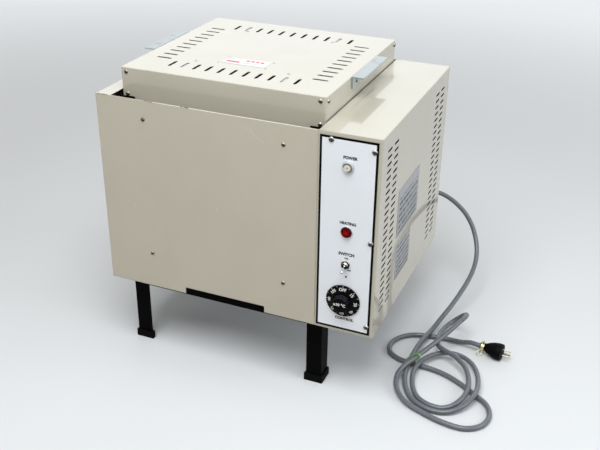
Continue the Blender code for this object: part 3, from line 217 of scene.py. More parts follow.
def add(tree, kind, inputs=None, **settings):
    """A shader node with its settings, whose inputs are linked from a socket or given a value."""
    made = tree.nodes.new("ShaderNode" + kind)
    for label, value in settings.items():
        setattr(made, label, value)
    for label, value in (inputs or {}).items():
        feed(tree, made.inputs[label], value)
    return made


def math_node(tree, operation, first, second=0.0, clamp=False):
    """The output of one sum, which works with up to two values."""
    return add(tree, "Math", {0: first, 1: second}, operation=operation, use_clamp=clamp).outputs[0]


def times(tree, first, second):
    """One value multiplied by another."""
    return math_node(tree, "MULTIPLY", first, second)


def plus(tree, first, second, clamp=False):
    """Two values added, and held between 0 and 1 if asked."""
    return math_node(tree, "ADD", first, second, clamp)


def minus(tree, first, second):
    """One value less another."""
    return math_node(tree, "SUBTRACT", first, second)


def larger(tree, first, second):
    """The larger of two values."""
    return math_node(tree, "MAXIMUM", first, second)


def ramp(tree, value, slope, start):
    """A value times a slope, counted from a start."""
    made = math_node(tree, "MULTIPLY_ADD", value, slope)
    made.node.inputs[2].default_value = start
    return made


def own_place(tree):
    """Where a point lies, in the piece's own coordinates."""
    return add(tree, "TexCoord").outputs["Object"]


def axes_of(tree, vector):
    """A vector's X, Y and Z."""
    return add(tree, "SeparateXYZ", {"Vector": vector}).outputs


def facing_up(tree):
    """How far a surface faces up, from -1 to 1."""
    return axes_of(tree, add(tree, "NewGeometry").outputs["Normal"])["Z"]


def noise(tree, place, scale, detail):
    """Soft noise, finer with a larger scale and rougher with more detail."""
    return add(tree, "TexNoise", {"Vector": place, "Scale": scale, "Detail": detail}).outputs["Fac"]


def fade(tree, value, low, high):
    """A mask that rises smoothly from 0 to 1 while a value goes from low to high."""
    made = add(tree, "MapRange", {"Value": value, "From Min": low, "From Max": high},
               interpolation_type="SMOOTHSTEP")
    return made.outputs["Result"]


def mix(tree, factor, first, second):
    """The output of a colour mix."""
    made = add(tree, "Mix", {"Factor": factor}, data_type="RGBA")
    feed(tree, made.inputs[6], first)
    feed(tree, made.inputs[7], second)
    return made.outputs[2]


def settled_dust_group():
    """Dust on what faces up, and fine unevenness, for rubber, cord sheath and moulded plastic."""
    inputs = [("Colour", "Color", (0.1, 0.1, 0.1, 1)), ("Dust", "Color", (0.5, 0.48, 0.45, 1)),
              ("Amount", "Float", 0.3), ("Roughness", "Float", 0.5), ("Grain", "Float", 160.0)]
    group, given, put = new_group("settled_dust", inputs,
                                  [("Colour", "Color"), ("Roughness", "Float"), ("Height", "Float")])
    place = own_place(group)
    patches = noise(group, place, 14.0, 4.0)
    grain = noise(group, place, given["Grain"], 3.0)
    facing = facing_up(group)
    upward = fade(group, facing, -0.2, 0.9)
    laid = times(group, upward, fade(group, patches, 0.35, 0.7))
    laid = times(group, laid, fade(group, grain, 0.25, 0.75))
    share = times(group, laid, given["Amount"])
    group.links.new(mix(group, share, given["Colour"], given["Dust"]), put["Colour"])
    rough = ramp(group, grain, 0.08, -0.04)
    rough = plus(group, rough, given["Roughness"])
    rough = plus(group, rough, times(group, share, 0.4), clamp=True)
    group.links.new(rough, put["Roughness"])
    group.links.new(grain, put["Height"])
    return group


SETTLED_DUST = settled_dust_group()


def new_finish(name, metallic=0.0, specular=0.5):
    """A material with its tree and its one Principled shader."""
    material = bpy.data.materials.new(name)
    material.use_nodes = True
    shader = material.node_tree.nodes["Principled BSDF"]
    shader.inputs["Metallic"].default_value = metallic
    shader.inputs["Specular IOR Level"].default_value = specular
    return material, material.node_tree, shader


def group_node(tree, group, inputs):
    """A node group placed in a material, with its own values."""
    made = tree.nodes.new("ShaderNodeGroup")
    made.node_tree = group
    for label, value in inputs.items():
        feed(tree, made.inputs[label], value)
    return made.outputs


def relief(tree, shader, height, strength, depth, normal=None):
    """A height that feeds the shader's normal."""
    inputs = {"Height": height, "Strength": strength, "Distance": depth}
    if normal is not None:
        inputs["Normal"] = normal
    tree.links.new(add(tree, "Bump", inputs).outputs["Normal"], shader.inputs["Normal"])


def dusty_finish(name, colour, dust, amount, roughness, grain, depth, specular=0.5):
    """Rubber, sheath or moulding with a little dust on it."""
    material, tree, shader = new_finish(name, specular=specular)
    skin = group_node(tree, SETTLED_DUST, {
        "Colour": colour, "Dust": dust, "Amount": amount, "Roughness": roughness, "Grain": grain,
    })
    tree.links.new(skin["Colour"], shader.inputs["Base Color"])
    tree.links.new(skin["Roughness"], shader.inputs["Roughness"])
    relief(tree, shader, skin["Height"], 0.35, depth)
    return material


def dress(piece, material):
    """Gives a piece, or a CAD node by its name, one material."""
    if isinstance(piece, str):
        piece = nodes[piece]
    if not piece.material_slots:
        piece.data.materials.append(material)
    for slot in piece.material_slots:
        slot.material = material


drop_run, coil_run, lead_run = ([spot(*place) for place in run] for run in cord_points())
power_cord = tube("power_cord", [drop_run + coil_run + lead_run], CORD_R, 4)
CORD_SHEATH = dusty_finish("cord_sheath", (0.118, 0.127, 0.145, 1), (0.30, 0.29, 0.27, 1), amount=0.14,
                           roughness=0.28, grain=240.0, depth=0.0003, specular=0.55)
dress(power_cord, CORD_SHEATH)
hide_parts("power_cord_drop", "power_cord_coil", "power_cord_lead")
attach(power_cord, "base")

# Cord gland
# Black rubber strain relief, a collar pressed into the back panel and a tapering sleeve with ring
# grooves, so that the cord can't be bent sharply where it leaves.
GLAND_PLACE = (0.5530, 0.4655, 0.2520)
SLEEVE_START, SLEEVE_LONG = 0.0070, 0.0270
SLEEVE_R, SLEEVE_TAPER = 0.0116, 0.0037
RINGS, RING_PITCH, RING_DEEP = 5, 0.0050, 0.0016


def deselect():
    """Leaves nothing selected."""
    bpy.ops.object.select_all(action="DESELECT")


def pick_piece(piece):
    """Selects one piece alone and makes it the active one."""
    deselect()
    piece.select_set(True)
    bpy.context.view_layer.objects.active = piece


def apply_place():
    """Puts the place, turn and size of what is selected into its mesh."""
    bpy.ops.object.transform_apply(location=True, rotation=True, scale=True)


def turned_piece(name, profile, sides):
    """A round piece drawn up from its first ring, where each step extrudes the end face and sizes it."""
    radius, height = profile[0]
    deselect()
    bpy.ops.mesh.primitive_circle_add(vertices=sides, radius=radius, fill_type="NGON",
                                      location=(0, 0, height))
    piece = bpy.context.object
    piece.name = name
    apply_place()
    bpy.ops.object.mode_set(mode="EDIT")
    bpy.ops.mesh.select_mode(type="FACE")
    bpy.ops.mesh.select_all(action="SELECT")
    for new_radius, new_height in profile[1:]:
        bpy.ops.mesh.extrude_region_move(TRANSFORM_OT_translate={"value": (0, 0, new_height - height)})
        size = new_radius / radius
        bpy.ops.transform.resize(value=(size, size, 1), center_override=(0, 0, new_height))
        radius, height = new_radius, new_height
    bpy.ops.mesh.select_all(action="SELECT")
    bpy.ops.mesh.normals_make_consistent(inside=False)
    bpy.ops.object.mode_set(mode="OBJECT")
    return piece


def put_at(piece, place, turn=(0, 0, 0)):
    """Moves a piece that was made at the origin to its place, and applies the place to its mesh."""
    pick_piece(piece)
    piece.location = place
    piece.rotation_euler = turn
    apply_place()


def finish_piece(piece, material, body, smooth=35.0):
    """Smooth shading up to an angle, one material, and the body that the piece rides on."""
    pick_piece(piece)
    bpy.ops.object.shade_smooth_by_angle(angle=math.radians(smooth))
    dress(piece, material)
    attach(piece, body)


TO_FRONT = (math.pi / 2, 0, 0)
TO_BACK = (-math.pi / 2, 0, 0)
TO_RIGHT = (0, math.pi / 2, 0)
TO_LEFT = (0, -math.pi / 2, 0)
BLACK_RUBBER = dusty_finish("black_rubber", (0.002, 0.002, 0.0025, 1), (0.10, 0.09, 0.08, 1),
                            amount=0.025, roughness=0.55, grain=300.0, depth=0.0004, specular=0.06)


def gland_profile():
    """The sleeve's outline, a cone with a ring groove every few millimetres."""
    profile = [(0.0090, -0.008), (0.0090, 0.0004), (0.0122, 0.0004), (0.0125, 0.0010), (0.0125, 0.0058),
               (0.0118, 0.0066)]
    for ring in range(RINGS):
        start = SLEEVE_START + RING_PITCH * ring
        radius = SLEEVE_R - SLEEVE_TAPER * (start - SLEEVE_START) / SLEEVE_LONG
        profile += [(radius - RING_DEEP, start), (radius - RING_DEEP, start + 0.0016),
                    (radius, start + 0.0018), (radius - 0.0004, start + RING_PITCH)]
    return profile + [(0.0078, 0.0332), (0.0072, 0.0340), (0.0058, 0.0340), (0.0057, 0.0320)]


cord_gland_sleeve = turned_piece("cord_gland_sleeve", gland_profile(), 32)
put_at(cord_gland_sleeve, spot(*GLAND_PLACE), TO_BACK)
finish_piece(cord_gland_sleeve, BLACK_RUBBER, "base")
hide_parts("cord_gland")

# Plug
# Black rubber plug with finger ribs, closed by a black disc that holds two flat blades and an earth
# pin. A brass band is screwed round its tail to hold the cord, and an open wire bail hangs from it.
PLUG_TURN = (math.pi / 2, 0, math.pi / 2 + PLUG_YAW)
RIBS_FROM, RIBS_TO, NECK_R = 0.014, 0.037, 0.0095
RIB_EVERY, RIB_WIDE = 30, 9.9
BLADE_THICK, BLADE_WIDE, BLADE_LONG = 0.0016, 0.0063, 0.0190
BLADE_MIDDLE, BLADE_ASIDE = 0.0585, 0.00635
BLADE_HOLE, BLADE_HOLE_R = 0.0640, 0.0015
PIN_DOWN = 0.0075
BLADE_ROLL = math.radians(45)
BAIL_HALF_ALONG, BAIL_HALF_OUT, BAIL_WIRE_R = 0.0050, 0.0066, 0.0008
BAIL_START, BAIL_SWEEP, BAIL_STEPS = 250, 290, 28
EAR_DOWN, EAR_OUT = 0.0032, 0.0022
FIRST_CROSS, NEXT_CROSS = 0.4, 0.7


def pick_faces(piece, wanted):
    """In edit mode, selects only the faces whose middle and normal pass a test."""
    bpy.ops.mesh.select_mode(type="FACE")
    bpy.ops.mesh.select_all(action="DESELECT")
    shape = bmesh.from_edit_mesh(piece.data)
    for face in shape.faces:
        face.select_set(wanted(face.calc_center_median(), face.normal))
    bmesh.update_edit_mesh(piece.data)


def plug_shell():
    """The rubber body: a neck, a swelling grip whose ribs are raised, and a rim round the contacts."""
    profile = [(0.0083, 0.0), (0.0085, 0.0006), (0.0085, 0.0118), (0.0096, 0.0132), (0.0118, 0.0170),
               (0.0148, 0.0240), (0.0170, 0.0310), (0.0181, 0.0380), (0.0185, 0.0402), (0.0185, 0.0494),
               (0.0179, 0.0500), (0.0132, 0.0500), (0.0128, 0.0496), (0.0128, 0.0480)]
    piece = turned_piece("plug_shell", profile, 36)
    bpy.ops.object.mode_set(mode="EDIT")

    def between_ribs(centre, normal):
        """True for the faces between two ribs, whichever way they face."""
        turn = math.degrees(math.atan2(centre.y, centre.x)) % RIB_EVERY
        outside = math.hypot(centre.x, centre.y) > NECK_R
        return RIBS_FROM < centre.z < RIBS_TO and turn > RIB_WIDE and outside

    pick_faces(piece, between_ribs)
    bpy.ops.mesh.inset(thickness=0.0003, depth=-0.0009, use_boundary=True)
    bpy.ops.object.mode_set(mode="OBJECT")
    return piece


plug_grip = plug_shell()
put_at(plug_grip, spot(*PLUG_TAIL), PLUG_TURN)
finish_piece(plug_grip, BLACK_RUBBER, "base", 45.0)
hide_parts("plug_body")


def worn_metal_group():
    """Bare metal with fine drawn lines, small stains, and a painted shade in the stain colour on what faces
    down.
    """
    inputs = [("Metal", "Color", (0.7, 0.7, 0.7, 1)), ("Stain And Shade", "Color", (0.3, 0.25, 0.2, 1)),
              ("Stained", "Float", 0.3), ("Roughness", "Float", 0.3), ("Stretch", "Vector", (1, 1, 1)),
              ("Underside Shade", "Float", 0.0), ("Shade Level", "Float", 0.1)]
    group, given, put = new_group("worn_metal", inputs,
                                  [("Colour", "Color"), ("Roughness", "Float"), ("Height", "Float")])
    place = own_place(group)
    drawn = add(group, "VectorMath", {0: place, 1: given["Stretch"]}, operation="MULTIPLY").outputs[0]
    lines = noise(group, drawn, 260.0, 3.0)
    patches = noise(group, place, 45.0, 5.0)
    share = times(group, fade(group, patches, 0.5, 0.72), given["Stained"])
    facing = facing_up(group)
    # Painted shade: what faces down, below a level, is darkened towards the stain colour.
    depth = minus(group, given["Shade Level"], facing)
    painted_shade = times(group, fade(group, depth, 0.0, 0.45), given["Underside Shade"])
    share = larger(group, share, painted_shade)
    group.links.new(mix(group, share, given["Metal"], given["Stain And Shade"]), put["Colour"])
    rough = times(group, plus(group, lines, share), 0.22)
    group.links.new(plus(group, rough, given["Roughness"], clamp=True), put["Roughness"])
    group.links.new(lines, put["Height"])
    return group


WORN_METAL = worn_metal_group()


def metal_finish(name, metal, stain_and_shade, stained, roughness, stretch=(1, 1, 1), depth=0.0001, underside_shade=0.0,
                 shade_level=0.1):
    """A metal with its stains, and as much painted shade on what faces down as is asked for."""
    material, tree, shader = new_finish(name, metallic=1.0)
    skin = group_node(tree, WORN_METAL, {
        "Metal": metal, "Stain And Shade": stain_and_shade, "Stained": stained, "Roughness": roughness, "Stretch": stretch,
        "Underside Shade": underside_shade, "Shade Level": shade_level,
    })
    tree.links.new(skin["Colour"], shader.inputs["Base Color"])
    tree.links.new(skin["Roughness"], shader.inputs["Roughness"])
    relief(tree, shader, skin["Height"], 0.3, depth)
    return material


BRASS = metal_finish("bright_brass", (0.66, 0.57, 0.36, 1), (0.16, 0.10, 0.045, 1), stained=0.6,
                     roughness=0.14)
DULL_BRASS = metal_finish("dull_blade_brass", (0.22, 0.19, 0.13, 1), (0.05, 0.04, 0.02, 1), stained=0.7,
                          roughness=0.22)
PANEL_STEEL = metal_finish("plated_screw_steel", (0.46, 0.43, 0.37, 1), (0.035, 0.028, 0.020, 1),
                           stained=0.6, roughness=0.22, underside_shade=0.95, shade_level=0.34)
BRIGHT_STEEL = metal_finish("bright_screw_steel", (0.56, 0.55, 0.52, 1), (0.035, 0.030, 0.025, 1),
                            stained=0.5, roughness=0.14, underside_shade=0.95, shade_level=0.40)
dress("plug_clamp", BRASS)


def screw_head(name, radius, height, sides=20):
    """A pan head with a rolled edge and a cross cut into its crown, seated on Z = 0."""
    profile = [(radius * 0.97, -0.0003), (radius, 0.0), (radius, height * 0.38),
               (radius * 0.94, height * 0.62), (radius * 0.78, height * 0.84),
               (radius * 0.52, height * 0.96), (radius * 0.25, height)]
    head = turned_piece(name, profile, sides)
    for turn in (0, math.pi / 2):
        deselect()
        bpy.ops.mesh.primitive_cube_add(size=1, location=(0, 0, height), rotation=(0, 0, turn),
                                        scale=(radius * 1.05, radius * 0.24, height * 1.1))
        cut_away(head, bpy.context.object)
    return head


def cut_away(piece, tool, operation="DIFFERENCE"):
    """Takes one shape out of another, or keeps only what both fill, and removes the tool."""
    pick_piece(piece)
    cutter = piece.modifiers.new("cut", "BOOLEAN")
    cutter.operation = operation
    cutter.solver = "EXACT"
    cutter.object = tool
    bpy.ops.object.modifier_apply(modifier="cut")
    bpy.data.objects.remove(tool)


def copied(master, name, places, turn):
    """Copies of one shape, each with its own mesh and its own turn, joined as one piece in its place."""
    made = []
    for number, place in enumerate(places):
        copy = master.copy()
        copy.data = master.data.copy()
        bpy.context.scene.collection.objects.link(copy)
        copy.matrix_world = (Matrix.Translation(place)
                             @ Matrix.Rotation(turn[2], 4, "Z") @ Matrix.Rotation(turn[1], 4, "Y")
                             @ Matrix.Rotation(turn[0], 4, "X")
                             @ Matrix.Rotation(NEXT_CROSS * number + FIRST_CROSS, 4, "Z"))
        made.append(copy)
    piece = joined(made, name)
    bpy.data.objects.remove(master)
    return piece


def joined(pieces, name):
    """Several shapes as one piece at the origin."""
    deselect()
    for piece in pieces:
        piece.select_set(True)
    bpy.context.view_layer.objects.active = pieces[0]
    apply_place()
    if len(pieces) > 1:
        bpy.ops.object.join()
    piece = bpy.context.object
    piece.name = name
    return piece


def contact_disc():
    """The disc in the plug's mouth, with a raised middle."""
    profile = [(0.0122, 0.0481), (0.0125, 0.0484), (0.0125, 0.0492), (0.0121, 0.0495), (0.0104, 0.0495),
               (0.0101, 0.0499), (0.0040, 0.0500)]
    return turned_piece("plug_contact_disc", profile, 40)


def blade(across):
    """A flat blade with an eased end and the usual round hole near it."""
    deselect()
    bpy.ops.mesh.primitive_cube_add(size=1, location=(across, 0, BLADE_MIDDLE),
                                    scale=(BLADE_THICK, BLADE_WIDE, BLADE_LONG))
    piece = bpy.context.object
    apply_place()
    bpy.ops.object.mode_set(mode="EDIT")
    pick_faces(piece, lambda centre, normal: normal.z > 0.9)
    bpy.ops.mesh.bevel(offset=0.0006, segments=2, affect="EDGES")
    bpy.ops.object.mode_set(mode="OBJECT")
    hole = turned_piece("blade_hole", [(BLADE_HOLE_R, -0.003), (BLADE_HOLE_R, 0.003)], 20)
    put_at(hole, (across, 0, BLADE_HOLE), TO_RIGHT)
    cut_away(piece, hole)
    return piece


def blade_set():
    """Two blades side by side, and the round earth pin below and between them."""
    pin = turned_piece("earth_pin", [(0.0020, 0.0490), (0.0020, 0.0655), (0.0018, 0.0668), (0.0011, 0.0678),
                                     (0.0004, 0.0680)], 20)
    put_at(pin, (0, -PIN_DOWN, 0))
    return joined([blade(-BLADE_ASIDE), blade(BLADE_ASIDE), pin], "plug_blades")


plug_contact_disc = contact_disc()
plug_blades = blade_set()
put_at(plug_blades, (0, 0, 0), (0, 0, BLADE_ROLL))
for piece, metal, smooth in ((plug_contact_disc, BLACK_RUBBER, 40.0), (plug_blades, DULL_BRASS, 30.0)):
    put_at(piece, spot(*PLUG_TAIL), PLUG_TURN)
    finish_piece(piece, metal, "base", smooth)
    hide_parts("plug_contacts")


def bail_run():
    """The bail's wire: an open loop that hangs outward from the clamp's lower side."""
    way = Vector((math.cos(PLUG_YAW), math.sin(PLUG_YAW), 0))
    aside = Vector((math.sin(PLUG_YAW), -math.cos(PLUG_YAW), 0))
    outward = (aside * 0.82 + Vector((0, 0, -0.57))).normalized()
    centre = spot(*PLUG_TAIL) + way * 0.0012 + aside * 0.0112 + Vector((0, 0, -0.0116))
    run = []
    for step in range(BAIL_STEPS + 1):
        angle = math.radians(BAIL_START - BAIL_SWEEP * step / BAIL_STEPS)
        run.append(centre + way * (BAIL_HALF_ALONG * math.cos(angle))
                   + outward * (BAIL_HALF_OUT * math.sin(angle + math.pi)))
    return run


plug_clamp_bail = tube("plug_clamp_bail", [bail_run()], BAIL_WIRE_R, 2)
dress(plug_clamp_bail, BRASS)
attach(plug_clamp_bail, "base")
clamp_low, clamp_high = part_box("plug_clamp")
clamp_way = Vector((-math.sin(PLUG_YAW), math.cos(PLUG_YAW), 0))
clamp_ear = Vector(((clamp_low.x + clamp_high.x) / 2, (clamp_low.y + clamp_high.y) / 2,
                    clamp_high.z - EAR_DOWN))
plug_clamp_screw = copied(screw_head("small_screw", 0.0021, 0.0014), "plug_clamp_screw",
                          [clamp_ear - clamp_way * EAR_OUT], (math.pi / 2, 0, PLUG_YAW))
finish_piece(plug_clamp_screw, PANEL_STEEL, "base")

# Cord tie
# Green plastic-coated wire, wound once round two stretches of the cord that pass one above the other,
# with its two ends twisted together.
TIE_Y = 0.1635
TIE_R = 0.0010
TIE_CLEAR = 0.0011
TWIST_TURNS, TWIST_STEPS, TWIST_STEP = 2.5, 24, 0.0007
SPREAD_FROM, SPREAD_STEP = 20, 0.0014


def crossing(run, level):
    """The highest place where a run of the cord crosses a plane of constant Y."""
    found = []
    for start, end in zip(run, run[1:]):
        if (start.y - level) * (end.y - level) < 0:
            found.append(start.lerp(end, (level - start.y) / (end.y - start.y)))
    return max(found, key=lambda place: place.z)


def tie_runs():
    """The loop round both stretches, and the two ends twisted out of it."""
    level = spot(0, TIE_Y, 0).y
    low, high = crossing(drop_run, level), crossing(lead_run, level)
    lean = math.atan2(high.z - low.z, high.x - low.x)
    reach = CORD_R + TIE_CLEAR + TIE_R
    loop = []
    for centre, start in ((high, -math.pi / 2), (low, math.pi / 2)):
        for step in range(17):
            angle = lean + start + math.pi * step / 16
            loop.append(Vector((centre.x + reach * math.cos(angle), level,
                                centre.z + reach * math.sin(angle))))
    loop.append(loop[0].copy())
    ends = []
    root = loop[11] + Vector((0.0002, 0, 0.0004))
    way = Vector((0.55, -0.62, 0.35)).normalized()
    side = way.cross(Vector((0, 0, 1))).normalized()
    up = side.cross(way)
    swing = TIE_R * 1.05
    for phase in (0.0, math.pi):
        run = []
        for step in range(TWIST_STEPS + 1):
            angle = phase + 2 * math.pi * TWIST_TURNS * step / TWIST_STEPS
            spread = SPREAD_STEP * max(0, step - SPREAD_FROM) * math.cos(phase)
            run.append(root + way * (TWIST_STEP * step) + side * (swing * math.cos(angle) + spread)
                       + up * (swing * math.sin(angle)))
        ends.append(run)
    return [loop] + ends


cord_tie_wire = tube("cord_tie_wire", tie_runs(), TIE_R, 2)
GREEN_WIRE = dusty_finish("green_coated_wire", (0.13, 0.52, 0.03, 1), (0.35, 0.40, 0.25, 1), amount=0.15,
                          roughness=0.32, grain=300.0, depth=0.0001)
dress(cord_tie_wire, GREEN_WIRE)
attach(cord_tie_wire, "base")
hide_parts("cord_tie")

# Corner posts and rails
# Mild steel angle, welded into a frame and sprayed black. Four posts carry the case, and a rail in
# front and behind carries the floor.


def worn_edge_group():
    """A mask of the edges where a finish has rubbed or chipped off."""
    inputs = [("Width", "Float", 0.001), ("Amount", "Float", 0.5), ("Grain", "Float", 90.0)]
    group, given, put = new_group("worn_edge", inputs, [("Mask", "Float")])
    rounded = add(group, "Bevel", {"Radius": given["Width"]}, samples=6).outputs["Normal"]
    flat = add(group, "NewGeometry").outputs["Normal"]
    agree = add(group, "VectorMath", {0: rounded, 1: flat}, operation="DOT_PRODUCT").outputs["Value"]
    edge = fade(group, minus(group, 1.0, agree), 0.01, 0.12)
    place = own_place(group)
    chance = times(group, noise(group, place, given["Grain"], 4.0), noise(group, place, 9.0, 2.0))
    limit = minus(group, 0.42, times(group, given["Amount"], 0.25))
    loose = minus(group, chance, limit)
    group.links.new(times(group, edge, fade(group, loose, 0.0, 0.015)), put["Mask"])
    return group


WORN_EDGE = worn_edge_group()


def black_frame_paint():
    """Thin black paint on steel, rubbed to a brown grey along its edges and dusty where it faces up."""
    material, tree, shader = new_finish("black_frame_paint", specular=0.02)
    skin = group_node(tree, SETTLED_DUST, {
        "Colour": (0.0022, 0.0020, 0.0022, 1), "Dust": (0.09, 0.08, 0.07, 1), "Amount": 0.03,
        "Roughness": 0.40, "Grain": 130.0,
    })
    worn = group_node(tree, WORN_EDGE, {"Width": 0.0012, "Amount": 0.75, "Grain": 120.0})
    tree.links.new(mix(tree, worn["Mask"], skin["Colour"], (0.050, 0.040, 0.032, 1)),
                   shader.inputs["Base Color"])
    rough = plus(tree, skin["Roughness"], times(tree, worn["Mask"], 0.25))
    tree.links.new(rough, shader.inputs["Roughness"])
    relief(tree, shader, skin["Height"], 0.4, 0.0005)
    return material


BLACK_PAINT = black_frame_paint()
CORNERS = ("front_left", "front_right", "back_left", "back_right")
for corner in CORNERS:
    dress("leg_post_" + corner, BLACK_PAINT)
dress("front_rail", BLACK_PAINT)
dress("back_rail", BLACK_PAINT)

# Foot boots
# Soft black rubber boots, pushed over the posts' lower ends so that the frame doesn't scratch what it
# stands on. They pick up dust along their tops.
BOOT_RUBBER = dusty_finish("boot_rubber", (0.0025, 0.0025, 0.0025, 1), (0.10, 0.09, 0.08, 1), amount=0.05,
                           roughness=0.70, grain=220.0, depth=0.0006, specular=0.05)
for corner in CORNERS:
    dress("foot_boot_" + corner, BOOT_RUBBER)

# Inner sheet work
# Galvanised sheet, folded and left bare: the floor plate, the shell round the insulation, the channels
# behind the front, and the wall and tray of the control section. The shell and the control wall are
# painted nearly black, as painted shade inside the case.


def zinc_sheet(name, dark, light, metallic):
    """Galvanised sheet with its crystal pattern, in greys of slightly different gloss."""
    material, tree, shader = new_finish(name, metallic=metallic)
    place = own_place(tree)
    bend = add(tree, "TexNoise", {"Vector": place, "Scale": 60.0, "Detail": 2.0}).outputs["Color"]
    bent = add(tree, "Mix", {"Factor": 0.012, 4: place, 5: bend}, data_type="VECTOR").outputs[1]
    cells = add(tree, "TexVoronoi", {"Vector": bent, "Scale": 95.0}, feature="F1").outputs["Color"]
    shade = add(tree, "SeparateColor", {"Color": cells}).outputs[0]
    tree.links.new(mix(tree, shade, dark, light), shader.inputs["Base Color"])
    rough = ramp(tree, shade, 0.18, 0.34)
    tree.links.new(rough, shader.inputs["Roughness"])
    relief(tree, shader, shade, 0.15, 0.0002)
    return material


ZINC = zinc_sheet("galvanised_sheet", (0.40, 0.42, 0.44, 1), (0.58, 0.60, 0.61, 1), 0.9)
# Painted shade: a nearly black copy of the sheet for the inside of the case, which lies in shade.
SHADED_ZINC = zinc_sheet("shade_darkened_sheet", (0.030, 0.029, 0.028, 1), (0.060, 0.057, 0.053, 1), 0.3)
for part in ("base_plate", "front_channel_left", "front_channel_right", "control_base"):
    dress(part, ZINC)
for part in ("inner_shell", "control_partition"):
    dress(part, SHADED_ZINC)

# Insulation blanket
# White ceramic fibre, packed between the shell and the bricks. Its fibres lie flat and its cut edges
# are ragged.


def fibre_blanket():
    """White fibre in flat strands, greyer between its tufts."""
    material, tree, shader = new_finish("ceramic_fibre", specular=0.1)
    shader.inputs["Roughness"].default_value = 1.0
    place = own_place(tree)
    laid = add(tree, "Mapping", {"Vector": place, "Scale": (1, 1, 5)}).outputs["Vector"]
    strands = add(tree, "TexNoise", {"Vector": laid, "Scale": 90.0, "Detail": 8.0, "Distortion": 1.5})
    tufts = noise(tree, place, 22.0, 4.0)
    shade = times(tree, strands.outputs["Fac"], tufts)
    tree.links.new(mix(tree, fade(tree, shade, 0.1, 0.4), (0.62, 0.61, 0.57, 1), (0.86, 0.86, 0.83, 1)),
                   shader.inputs["Base Color"])
    relief(tree, shader, shade, 0.8, 0.003)
    return material


dress("insulation_blanket", fibre_blanket())

# Fire bricks
# Light insulating fire brick, cut and grooved for the heating wire. It is full of small burnt-out
# pores, and browned where the wire has been hot.


def fire_brick(name, scorched, top_shade=0.0):
    """Cream porous brick, with more or less brown scorching, and where asked a near-black painted shade on
    what faces up.
    """
    material, tree, shader = new_finish(name, specular=0.15)
    shader.inputs["Roughness"].default_value = 0.95
    place = own_place(tree)
    pores = add(tree, "TexVoronoi", {"Vector": place, "Scale": 330.0}, feature="F1").outputs["Distance"]
    size = noise(tree, place, 120.0, 3.0)
    hole = fade(tree, minus(tree, pores, times(tree, size, 0.55)), -0.05, 0.12)
    patches = noise(tree, place, 10.0, 5.0)
    clay = mix(tree, patches, (0.72, 0.62, 0.47, 1), (0.80, 0.74, 0.62, 1))
    browned = times(tree, fade(tree, patches, 0.45, 0.65), scorched)
    clay = mix(tree, browned, clay, (0.42, 0.26, 0.14, 1))
    clay = mix(tree, hole, (0.36, 0.28, 0.19, 1), clay)
    if top_shade:
        facing = facing_up(tree)
        top_shade_mask = times(tree, fade(tree, facing, 0.4, 0.8), top_shade)
        clay = mix(tree, top_shade_mask, clay, (0.008, 0.007, 0.006, 1))
    tree.links.new(clay, shader.inputs["Base Color"])
    relief(tree, shader, hole, 0.6, 0.0012)
    return material


WALL_BRICK = fire_brick("wall_fire_brick", 0.35)
for part in ("brick_front", "brick_back", "brick_left", "brick_right", "floor_brick"):
    dress(part, WALL_BRICK)
# The lid slab's top is painted near black, as the shade under the slotted lid.
dress("lid_insulation", fire_brick("lid_fire_brick", 0.15, 0.98))

# Heating elements
# Resistance wire wound into a long open coil, laid round the chamber in one groove and back in the
# next. Its straight tails go out through the right wall to the terminals.
WIRE_R = 0.0008
WINDING_R = 0.0031
WINDING_PITCH = 0.0042
ELEMENT_HALF = 0.004
ELEMENT_BEND = 0.008
GROOVE_DEEP, GROOVE_CLEAR = 0.012, 0.0003
TAIL_ASIDE = 0.018
LEVELS = ("lower", "middle", "upper")


def rounded_path(corners, radius, steps):
    """A path through square corners, each turned by an arc of one radius."""
    points = [Vector(corners[0])]
    for before, corner, after in zip(corners, corners[1:], corners[2:]):
        back = (before - corner).normalized()
        ahead = (after - corner).normalized()
        centre = corner + radius * (back + ahead)
        for step in range(steps + 1):
            angle = 0.5 * math.pi * step / steps
            points.append(centre - radius * (math.cos(angle) * ahead + math.sin(angle) * back))
    points.append(Vector(corners[-1]))
    return points


def wound_along(path, radius, pitch, turn_points):
    """The line of a winding whose axis is a path."""
    run = []
    axis = (path[1] - path[0]).normalized()
    side = axis.orthogonal().normalized()
    travelled = 0.0
    step = pitch / turn_points
    left = 0.0
    for start, end in zip(path, path[1:]):
        way = (end - start).normalized()
        side = (side - way * side.dot(way)).normalized()
        up = way.cross(side)
        length = (end - start).length
        while left <= length:
            angle = 2 * math.pi * travelled / pitch
            run.append(start + way * left + (side * math.cos(angle) + up * math.sin(angle)) * radius)
            left += step
            travelled += step
        left -= length
    return run


